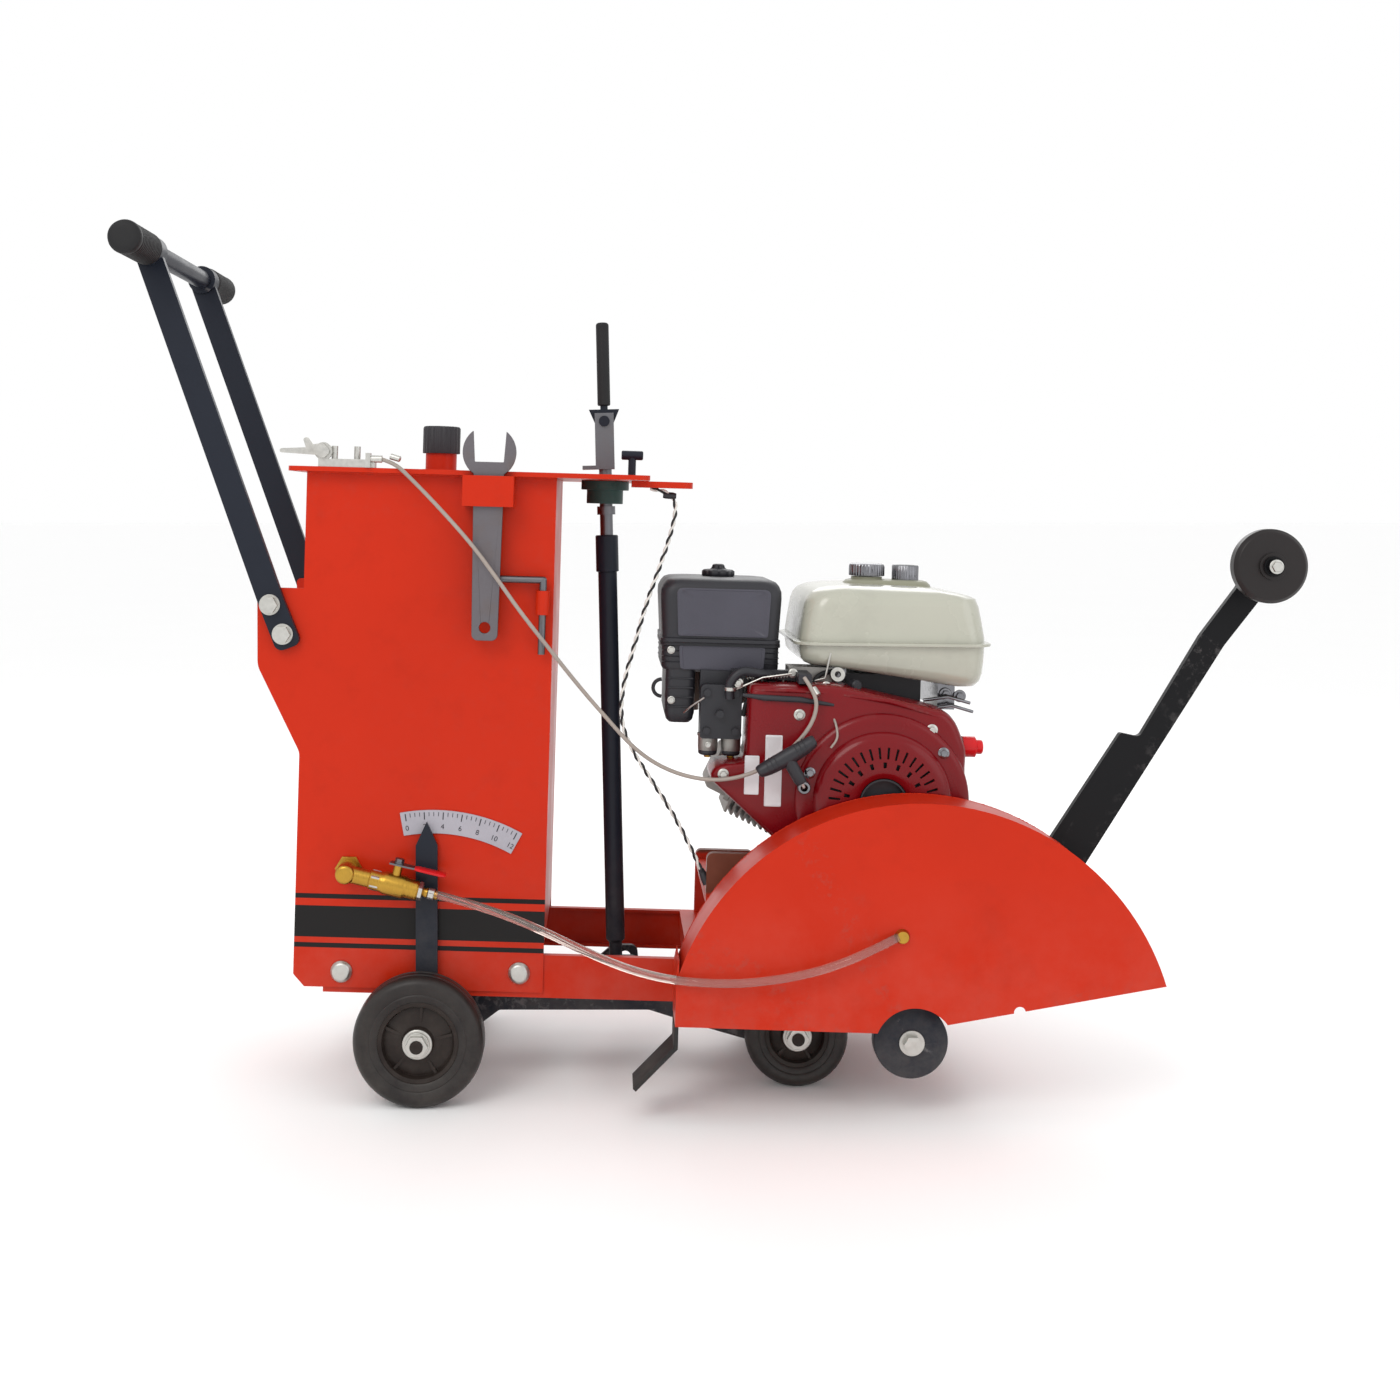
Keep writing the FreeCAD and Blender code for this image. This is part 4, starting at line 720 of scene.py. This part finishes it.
def fan_shroud():
    form = Form()
    outline = shroud_outline()
    centre = SHROUD_CENTRE
    rings = []
    for inset, y in ((0, -73), (0, -139), (0.6, -144), (2.2, -148), (5.0, -151), (9, -152.6), (15, -153)):
        rings.append([(centre.x + (p.x - centre.x) * k, y, centre.y + (p.y - centre.y) * k)
                      for p, k in ((q, 1 - inset / (q - centre).length) for q in outline)])
    form.skin(rings)
    dome = [(108, 3), (107.6, -2), (105.5, -5), (101, -6.8), (94, -7.4), (60, -7.4), (1, -7.4)]
    form.lathe(dome, upon(CRANK_X, -153, CRANK_Z, (0, 1, 0)), 0, 96)
    # black bar along the gap under the top edge: painted shade of that gap
    gap_shade_bar = [(34, -148, 508), (60, -155, 506), (104, -156, 505), (146, -152, 499)]
    form.tube(gap_shade_bar, [2.2, 3.8, 3.8, 2.0], paint=1)
    form.tube([(46, -150, 514), (90, -154.6, 516), (140, -151, 513)], [1.5, 2.6, 1.5])
    form.tube([(150, -151, 512), (215, -154, 506), (282, -151, 486)], [1.5, 2.8, 1.5])
    for x0, x1, z0, z1 in ((63, 84, 372, 460), (38, 56, 386, 434)):
        label = [(x0, z0, 1.5), (x1, z0, 1.5), (x1, z1, 1.5), (x0, z1, 1.5)]
        form.skin(upright_panel(label, -153.8, 0.9), paint=2)
    for x, z in ((104, 486), (12, 410), (268, 472), (296, 420), (96, 336)):
        form.bolt(upon(x, -152.6, z, (0, -1, 0)), 8, 5, 7, 3)
    form.piece("fan_shroud", ["red_enamel", "black_plastic", "label_stock", "zinc"],
               nodes=["fan_cover"], sharp=45)


def recoil_cover():
    """Dished cover with long slots round it and short ones near its hub."""
    turns, long_slots, short_slots = 144, 54, 43
    profile = [(30, 3.0), (34, 0.6), (37, 0), (short_slots, 0), (50, 0.3), (long_slots, 0.6), (68, 2.0),
               (75, 3.4), (80, 5.4), (84, 9.0), (86, 14)]
    rings = [[(r * math.cos(2 * math.pi * k / turns), r * math.sin(2 * math.pi * k / turns), h)
              for k in range(turns)] for r, h in profile]
    faces = []
    for r in range(len(profile) - 1):
        start = profile[r][0]
        for k in range(turns):
            if not (start == long_slots and k % 4 == 1 or start == short_slots and k % 8 in (3, 4)):
                a, b = r * turns, (r + 1) * turns
                faces.append((a + k, a + (k + 1) % turns, b + (k + 1) % turns, b + k))
    form = Form()
    dish = upon(CRANK_X, FRONT_Y - 14, CRANK_Z, (0, 1, 0))
    form.add([p for ring in rings for p in ring], faces, dish)
    form.piece("recoil_cover", ["red_enamel"], nodes=["starter_housing"], wall=1.8,
               bevel=0.3, sharp=40)
    inner = Form()
    inner.lathe([(80, 11.6), (80, 13.6), (1, 13.6), (1, 11.6)], dish, 0, 64)
    inner.lathe([(29, 3.4), (27, 3.0), (27, 9), (29, 9.4)], dish, 0, 48, loop=True)
    inner.block((-27, -4.5, 6.0), (27, 4.5, 8.5), dish @ turned(4), 1)
    inner.lathe([(10, 5.4), (10, 9), (6, 9.2), (1, 9.2), (1, 5.4)], dish, 1, 32)
    for k in range(3):
        inner.bolt(dish @ turned(20 + 120 * k) @ upon(96, 0, 13.8, (0, 0, -1)), 8, 5, 7, 2)
    eye = upon(ROPE_START.x, ROPE_START.y - 4, ROPE_START.z, (0, 1, 0))
    inner.lathe([(4, 1), (4.6, -0.6), (7, -0.8), (8, 0.6), (8, 14), (4, 14)], eye, 2, 40, loop=True)
    inner.piece("recoil_inner", ["black_plastic", "red_enamel", "chrome"], sharp=40)


def recoil_grip():
    """Curved T-shaped grip with ridges towards both ends and a stem for the rope."""
    form = Form()
    along = Vector((71, 0, 43)).normalized()
    down = Vector((43, 0, -71)).normalized()
    middle = Vector((86, -186, 438.6))
    rings = []
    for k in range(25):
        t = -1 + 2 * k / 24
        reach = 40.5 * math.sin(t * math.pi / 2)
        bulge = (1 - abs(t) ** 6) ** 0.5
        deep = 10.3 * bulge * (0.88 + 0.12 * math.cos(t * 3.0))
        wide = 10.2 * bulge * (0.92 + 0.08 * t * t)
        centre = middle + along * reach + down * (-2.4 * t * t + 1.0)
        rings.append([centre + down * math.cos(a) * deep + Vector((0, 1, 0)) * math.sin(a) * wide
                      for a in [2 * math.pi * i / 20 for i in range(20)]])
    form.skin(rings[1:-1])
    ridge = [(0.5, -0.8), (9.9, -0.6), (10.3, 0), (9.9, 0.6), (0.5, 0.8)]
    for t in (-26, -20, -14, 14, 20, 26):
        centre = middle + along * t + down * (-2.4 * (t / 40) ** 2 + 1.0)
        form.lathe(ridge, upon(*centre, along), 0, 24)
    neck = upon(*middle, down)
    form.lathe([(9.5, 0), (8.4, 6), (7.8, 16), (7.9, 32), (6.6, 37.2), (1, 38)], neck, 0, 28)
    form.piece("recoil_handle", ["black_plastic"], body="recoil_grip",
               nodes=["starter_grip"], sharp=50)


def starter_rope():
    """Twisted rope from the eyelet to the grip."""
    start, end = ROPE_START, ROPE_END
    line = [start.lerp(end, k / 40) for k in range(41)]
    side, other = square_to((end - start).normalized())
    form = Form()
    for strand in range(3):
        turns = [2 * math.pi * (strand / 3 + k / 12) for k in range(len(line))]
        form.tube([p + swing(side, other, a, 0.8) for p, a in zip(line, turns)], 0.95, sides=8)
    rope = form.piece("starter_rope", ["white_lead"], body=None)
    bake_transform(rope)


# ---------------------------------------------------------------- carburettor, linkage and small engine parts
def bend(form, points, radius, paint, sides=12):
    """Smooth tube through given points."""
    path, steps = [], 6
    ends = [points[0]] + points + [points[-1]]
    for i in range(1, len(ends) - 2):
        p0, p1, p2, p3 = (Vector(ends[i + k]) for k in (-1, 0, 1, 2))
        for k in range(steps):
            t = k / steps
            path.append(0.5 * (2 * p1 + (p2 - p0) * t + (2 * p0 - 5 * p1 + 4 * p2 - p3) * t * t
                               + (3 * p1 - p0 - 3 * p2 + p3) * t ** 3))
    path.append(Vector(points[-1]))
    form.tube(path, radius, paint, sides)


def spring(form, start, end, radius, wire, coils, paint):
    start, end = Vector(start), Vector(end)
    side, other = square_to((end - start).normalized())
    total = coils * 12
    line = [start.lerp(end, k / total) + swing(side, other, math.pi * k / 6, radius) for k in range(total + 1)]
    form.tube([start] + line + [end], wire, paint=paint, sides=6)


def engine_details():
    form = Form()
    black, silver, brass, alloy, dark = 0, 1, 2, 3, 4
    # intake breather, arched over the duct
    bend(form, [(20, -118, 500), (20, -122, 520), (34, -122, 534), (56, -118, 532), (78, -104, 527),
                (92, -92, 522)], 6.0, black)
    for point, axis in (((20, -121, 512), (0, 0, 1)), ((86, -98, 525), (1, 0.9, -0.4))):
        form.lathe([(6.8, -2.5), (7.4, -2), (7.4, 2), (6.8, 2.5)], upon(*point, axis), silver, 24)
    # float bowls and their drain screws
    for x in (-5, 24):
        bowl = upon(x, -98, 0)
        form.lathe([(1, 425.8), (6, 426.2), (10.6, 428.6), (12.3, 433), (12.6, 440), (12.6, 450),
                    (13.6, 450.6), (13.6, 453.4), (12, 454)], bowl, alloy, 40)
        form.bolt(upon(x, -98, 427, (0, 0, -1)), 8, 4, 6, brass)
    form.bolt(upon(-5, -111, 440, (0, -1, 0)), 6, 4, 4, silver)
    # governor arm, rods and springs
    form.tube([(28, -118, 512), (60, -126, 528), (96, -128, 534)], 1.3, paint=silver, sides=8)
    spring(form, (40, -116, 526), (92, -120, 530), 2.2, 0.6, 14, silver)
    form.tube([(-12, -118, 500), (-28, -112, 488), (-36, -96, 478)], 1.2, paint=silver, sides=8)
    form.tube([(100, -104, 516), (140, -110, 528), (146, -110, 560)], 1.4, paint=silver, sides=8)
    for x, z in ((112, 524), (140, 519), (98, 534), (30, 520)):
        form.bolt(upon(x, -121, z, (0, -1, 0)), 7, 4, 6, silver)
    form.lathe([(4, -5), (9, -5), (9, 5), (4, 5)], upon(156, -104, 532, (0, -1, 0.2)), silver, 28, loop=True)
    form.lathe([(1, 0), (7, 0), (7, 12), (5, 14), (1, 14)], upon(176, -104, 520, (0.3, -1, 0)), black, 24)
    # fuel line from the tank tap down to the bowls
    bend(form, [(152, -96, 536), (132, -104, 530), (112, -112, 508), (70, -112, 520), (44, -116, 500),
                (38, -112, 478)], 3.0, dark, 10)
    # ribs and flange of the inlet, and the dark parts seen behind
    form.block((-16, -92, 500), (40, -60, 532), paint=black)
    form.block((30, -100, 516), (98, -60, 530), paint=black)
    for k in range(5):
        form.block((36 + 12 * k, -104, 518), (38 + 12 * k, -58, 531), paint=alloy)
    form.block((95, -96, 522), (150, -56, 540), paint=alloy)
    # oil filler plug
    form.lathe([(1, 0), (11, 0), (12, 3), (12, 10), (9, 12), (3, 12), (3, 18), (1, 18)],
               upon(314, -46, 302, (0.8, -0.6, 0)), black, 40, knurl=1.2, lobes=10)
    form.piece("engine_details", ["black_plastic", "zinc", "brass", "cast_alloy", "rubber"],
               sharp=40)


def wiring():
    form = Form()
    bend(form, [(118, -110, 514), (134, -128, 500), (146, -150, 484), (150, -163, 462), (142, -166, 448)],
         1.5, 0, 8)
    bend(form, [(62, -96, 420), (30, -92, 392), (8, -60, 400)], 3.4, 1, 10)
    form.piece("engine_wiring", ["grey_cable", "rubber"], sharp=50)


# ---------------------------------------------------------------- grips and wheels
def handle_grips():
    form = Form()
    for side in (-1, 1):
        place = upon(-717, side * 153.0, 1038, (0, side, 0))
        profile = [(13, 0.3), (18.4, 0.4), (19.2, 1.4)]
        for k in range(14):
            at = 4 + 6.0 * k
            profile += [(19.2, at), (20.3, at + 1.2), (20.3, at + 3.6), (19.2, at + 4.8)]
        profile += [(19.6, 89), (20.5, 91), (20.5, 96), (19.4, 100.2), (16.5, 102.4), (11, 103), (1, 103)]
        form.lathe(profile, place, 0, 56)
    form.piece("grip_sleeves", ["rubber"], nodes=["handle_grips"], sharp=55)


REAR_WHEEL = dict(middle=174.0, centre=(-353.0, 80.0), radius=80.0, width=44.0, axle_end=198)
FRONT_WHEEL = dict(middle=98.0, centre=(115.0, 65.0), radius=65.0, width=40.0, axle_end=120)


def wheel_dress(name, side, middle, centre, radius, width, axle_end):
    """Solid tyre with moulded rings, a dished hub with webs, and the bearing ring round the axle."""
    body = f"{name}_wheel"
    rim, half = radius * 0.62, width / 2
    place = upon(centre[0], side * middle, centre[1], (0, side, 0))
    tyre = Form()
    crown = [(rim, half - 4), (rim + 2, half - 2.6), (radius * 0.72, half - 1.6), (radius * 0.74, half - 2.3),
             (radius * 0.76, half - 1.4), (radius - 11, half - 0.2), (radius - 7.5, half - 0.6),
             (radius - 3.2, half - 3.6), (radius - 0.8, half - 8), (radius, half - 12)]
    tread = [(radius, half - 14), (radius - 1.2, half - 14.8), (radius - 1.2, half - 16.2),
             (radius, half - 17)]
    profile = crown + tread + [(r, -h) for r, h in reversed(crown + tread)]
    tyre.lathe(profile + [(rim, -half + 4)], place, 0, 96, loop=True)
    tyre.piece(f"{name}_tyre_moulded", ["tyre_rubber"], body, [f"{name}_tyre"], PLAIN, sharp=30)
    hub = Form()
    face = [(10.4, half), (17.5, half), (18.4, half - 1.2), (20, half - 8), (rim - 8, half - 12.5),
            (rim - 5.5, half - 5), (rim - 1, half - 4), (rim, half - 4.4)]
    hub.lathe(face + [(r, -h) for r, h in reversed(face)], place, 0, 72, loop=True)
    for k in range(5):
        for flip in (1, -1):
            hub.block((18, -1.8, (half - 14) * flip), (rim - 5, 1.8, (half - 8.6) * flip),
                      place @ turned(72 * k + 12), 0)
    ring = [(12.6, half - 1), (13, half + 1.4), (14.2, half + 2), (17.2, half + 2), (18.2, half + 1.2),
            (18.4, half - 1)]
    hub.lathe(ring, place, 1, 56, loop=True)
    end = upon(centre[0], side * (axle_end + 10.2), centre[1], (0, side, 0))
    hub.lathe([(7.6, -0.4), (8.2, 0.5), (8.0, 1.0), (6.2, 0.6), (1, 0.4)], end, 0, 32)
    hub.piece(f"{name}_hub_dished", ["hub_black", "zinc"], body, [f"{name}_hub"], PLAIN,
              bevel=0.4, sharp=32)


def wheels():
    for hand, side in (("right", -1), ("left", 1)):
        wheel_dress(f"rear_{hand}", side, **REAR_WHEEL)
        wheel_dress(f"front_{hand}", side, **FRONT_WHEEL)


# ---------------------------------------------------------------- weld beads, scale marks, clamps
def weld(form, points, radius, step, seed):
    """Rippled bead along straight runs between points."""
    rng = random.Random(seed)
    line, wide = [], []
    for a, b in zip(points, points[1:]):
        a, b = Vector(a), Vector(b)
        count = max(2, int((b - a).length / step))
        for k in range(count):
            line.append(a.lerp(b, k / count))
            wide.append(radius * (0.82 + 0.36 * (k % 2) * rng.random()))
    line.append(Vector(points[-1]))
    wide.append(radius * 0.7)
    form.tube(line, wide, sides=8)


def stop_lead():
    """Black and pale wires twisted round the route's own smooth line."""
    length, points = route_length(STOP_ROUTE)
    points = [p / MM for p in points]
    form = Form()
    ahead = [heading(points, i) for i in range(len(points))]
    fine, along = [], 0.0
    for a, b, d in zip(points, points[1:], ahead):
        steps = max(1, int((b - a).length / 1.6))
        fine += [(a.lerp(b, k / steps), d, along + (b - a).length * k / steps) for k in range(steps)]
        along += (b - a).length
    fine.append((points[-1], ahead[-1], along))
    for strand in range(2):
        line = []
        for point, direction, reach in fine:
            side = (Vector((0, 1, 0)) - direction * direction.y).normalized()
            turn = math.pi * (strand + reach / 12.0)
            line.append(point + swing(side, direction.cross(side), turn, 1.5))
        form.tube(line, 1.5, paint=strand, sides=10)
    lead = form.piece("stop_lead", ["black_lead", "white_lead"], nodes=["stop_cable"],
                      place=PLAIN)


GUARD_X, GUARD_Z, GUARD_BEAD = 247, 95, 301.2
TANK_REAR, TANK_FRONT, TANK_SIDE, TANK_TOP = -513.5, -205.5, 131.2, 766
BED_SIDE, BED_FOOT = 119.6, 175.6


def weld_beads():
    form = Form()
    guard = [on_arc(GUARD_X, GUARD_Z, GUARD_BEAD, angle, -178.4) for angle in range(-68, 65, 3)]
    weld(form, guard, 1.5, 2.4, 3)
    for x in (TANK_REAR, TANK_FRONT):
        for y in (-TANK_SIDE, TANK_SIDE):
            weld(form, [(x, y, 194), (x, y, TANK_TOP)], 1.3, 3.0, 5)
    for y, seed in ((-135.6, 7), (135.6, 8)):
        weld(form, [(-512, y, 769.6), (-208, y, 769.6)], 1.6, 2.2, seed)
    neck = [(NECK_X + 25.4 * math.cos(math.radians(a)), 25.4 * math.sin(math.radians(a)), NECK_Z + 0.6)
            for a in range(0, 361, 8)]
    weld(form, neck, 1.4, 2.0, 9)
    for y in (-BED_SIDE, BED_SIDE):
        for rear, front, seed in ((-3, 75, 11), (266, 344, 12)):
            weld(form, [(rear, y, BED_FOOT), (front, y, BED_FOOT)], 1.8, 2.0, seed)
    form.piece("weld_beads", ["orange_paint"], sharp=60)


SCALE_FACE = -137.0
SCALE_START, SCALE_SWEEP = -10.2, 36.4
SCALE_RADIUS, NUMBER_RADIUS = 225.5, 207.5


def scale_marks():
    """Ticks on the depth scale, every fourth one longer, and the numbers 0 to 12."""
    form = Form()
    for k in range(25):
        angle = SCALE_START + SCALE_SWEEP * k / 24
        reach, half = (9, 0.16) if k % 4 == 0 else (5, 0.10)
        inner = SCALE_RADIUS - reach
        ring = [on_arc(PIVOT_X, PIVOT_Z, r, a, SCALE_FACE - 0.05) for r, a in
                ((inner, angle - half), (SCALE_RADIUS, angle - half), (SCALE_RADIUS, angle + half),
                 (inner, angle + half))]
        form.skin([ring, [(x, SCALE_FACE - 0.25, z) for x, _, z in ring]])
    form.piece("scale_marks", ["ink"], sharp=30)
    for k in range(7):
        angle = SCALE_START + SCALE_SWEEP * k / 6
        data = bpy.data.curves.new(f"scale_number_{k}", "FONT")
        data.body = str(k * 2)
        data.size = 9 * MM
        data.align_x = data.align_y = "CENTER"
        data.extrude = 0.12 * MM
        data.materials.append(MATERIALS["ink"])
        number = add_object(f"scale_number_{k}", data)
        spot = on_arc(PIVOT_X, PIVOT_Z, NUMBER_RADIUS, angle, SCALE_FACE - 0.15)
        stand = Matrix.Rotation(math.radians(90), 4, "X")
        tip = Matrix.Rotation(math.radians(angle), 4, "Y")
        number.matrix_world = LEAN @ Matrix.Translation(Vector(spot) * MM) @ tip @ stand
        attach(number, "main_frame")


def fittings():
    """Hose clamps, cable ferrules, the guide roller's bolt and the valve lever's sleeve."""
    form = Form()
    valve = Matrix.Translation((-449, -162, 277)) @ Matrix.Rotation(math.radians(12), 4, "Y")
    along = valve @ Matrix.Rotation(math.radians(90), 4, "Y")
    form.lathe([(5.6, 104), (6.9, 104.4), (6.9, 111.6), (5.6, 112)], along, 0, 36)
    form.block((-2.4, -9.6, 105), (2.4, -6.4, 111), along, 0)
    form.lathe([(2.6, -7.5), (3.9, -7), (3.9, 5), (2.6, 6)], upon(-403, -150, 789, (15, -2, -4)), 0, 20)
    form.lathe([(2.6, -4), (4.4, -3), (4.4, 8), (2.6, 9)], upon(124, -156, 513, (-13, 14, 19)), 0, 20)
    form.lathe([(1, -1), (3.6, -1), (4.4, 2), (4.4, 12), (3.3, 16), (1, 16)],
               upon(-68, -60, 753, (22, 0, -1)), 1, 24)
    form.lathe([(1, -2), (5.5, -2), (5.5, 6), (3.4, 18), (1, 18)], upon(-3, -125, 270, (-19, 7, 40)), 1, 24)
    form.lathe([(11.4, 31.5), (12.9, 32.5), (12.9, 42), (11.6, 43.4)], along, 0, 6)
    form.lathe([(10.0, 91.6), (11.6, 92.2), (11.6, 96.6), (8.8, 97.4)], along, 0, 6)
    form.piece("cable_fittings", ["zinc", "black_plastic"], sharp=40)
    nose = Form()
    nose.bolt(upon(653.2, -239.8, 687, (0, -1, 0)), 12, 5.5, 8.5, 0)
    nose.piece("roller_bolt", ["zinc"], body="front_arm", sharp=40)
    sleeve = Form()
    lever = [[(x, y * 0.55, z) for x, y, z in ring] for ring in
             (rounded(82, 119.5, -14.5, 14.5, 6, 24.3), rounded(81, 120.5, -16.4, 16.4, 7, 25.1),
              rounded(81, 120.5, -16.4, 16.4, 7, 27.1), rounded(82, 119.5, -14.5, 14.5, 6, 27.9))]
    sleeve.skin(lever)
    sleeve.piece("valve_lever_sleeve", ["red_plastic"], body="valve",
                 place=TO_ROW @ valve, sharp=40)


fuel_tank()
air_cleaner()
fan_shroud()
recoil_cover()
recoil_grip()
starter_rope()
engine_details()
wiring()
handle_grips()
wheels()
stop_lead()
weld_beads()
scale_marks()
fittings()


# ---------------------------------------------------------------- stage, light and camera
def stage():
    """White floor, far wider than the view."""
    floor = bpy.data.meshes.new("floor")
    reach = 80.0
    floor.from_pydata([(-reach, -reach, 0), (reach, -reach, 0), (reach, reach, 0), (-reach, reach, 0)],
                      [], [(0, 1, 2, 3)])
    thing = add_object("floor", floor)
    s = Shader("floor_white")
    cloud = s.noise(1.5, 3.0)
    s.set(Base_Color=s.mix(cloud, (0.975, 0.975, 0.975, 1), (0.99, 0.99, 0.99, 1)), Roughness=0.7)
    floor.materials.append(s.material)


def area_light(name, place, aim, size, power, colour=(1.0, 1.0, 1.0)):
    data = bpy.data.lights.new(name, "AREA")
    data.shape = "DISK"
    data.size = size
    data.energy = power
    data.color = colour
    thing = add_object(name, data)
    thing.location = place
    thing.rotation_euler = (Vector(aim) - Vector(place)).to_track_quat("-Z", "Y").to_euler()


def light_and_camera():
    scene = bpy.context.scene
    world = bpy.data.worlds.new("studio")
    world.use_nodes = True
    sky = world.node_tree.nodes["Background"].inputs
    sky["Color"].default_value = (1.0, 1.0, 1.0, 1.0)
    sky["Strength"].default_value = 1.0
    scene.world = world
    area_light("key", (-1.6, -3.0, 3.2), (0, 0, 0.5), 2.2, 48, (1.0, 0.98, 0.95))
    area_light("fill", (2.8, -2.4, 1.6), (0.1, 0, 0.4), 2.6, 14, (0.95, 0.97, 1.0))
    area_light("back", (0.5, 3.0, 2.6), (0, 0, 0.5), 2.4, 25)
    lens = bpy.data.cameras.new("camera")
    lens.sensor_width = 36.0
    lens.lens = 43.7
    lens.shift_x = 0.0643
    lens.shift_y = -0.1371
    camera = add_object("camera", lens)
    camera.location = (-0.120, -2.25, 0.7285)
    camera.rotation_euler = (math.pi / 2, 0, 0)
    scene.camera = camera
    scene.view_settings.view_transform = "Standard"
    scene.view_settings.look = "None"


stage()
light_and_camera()
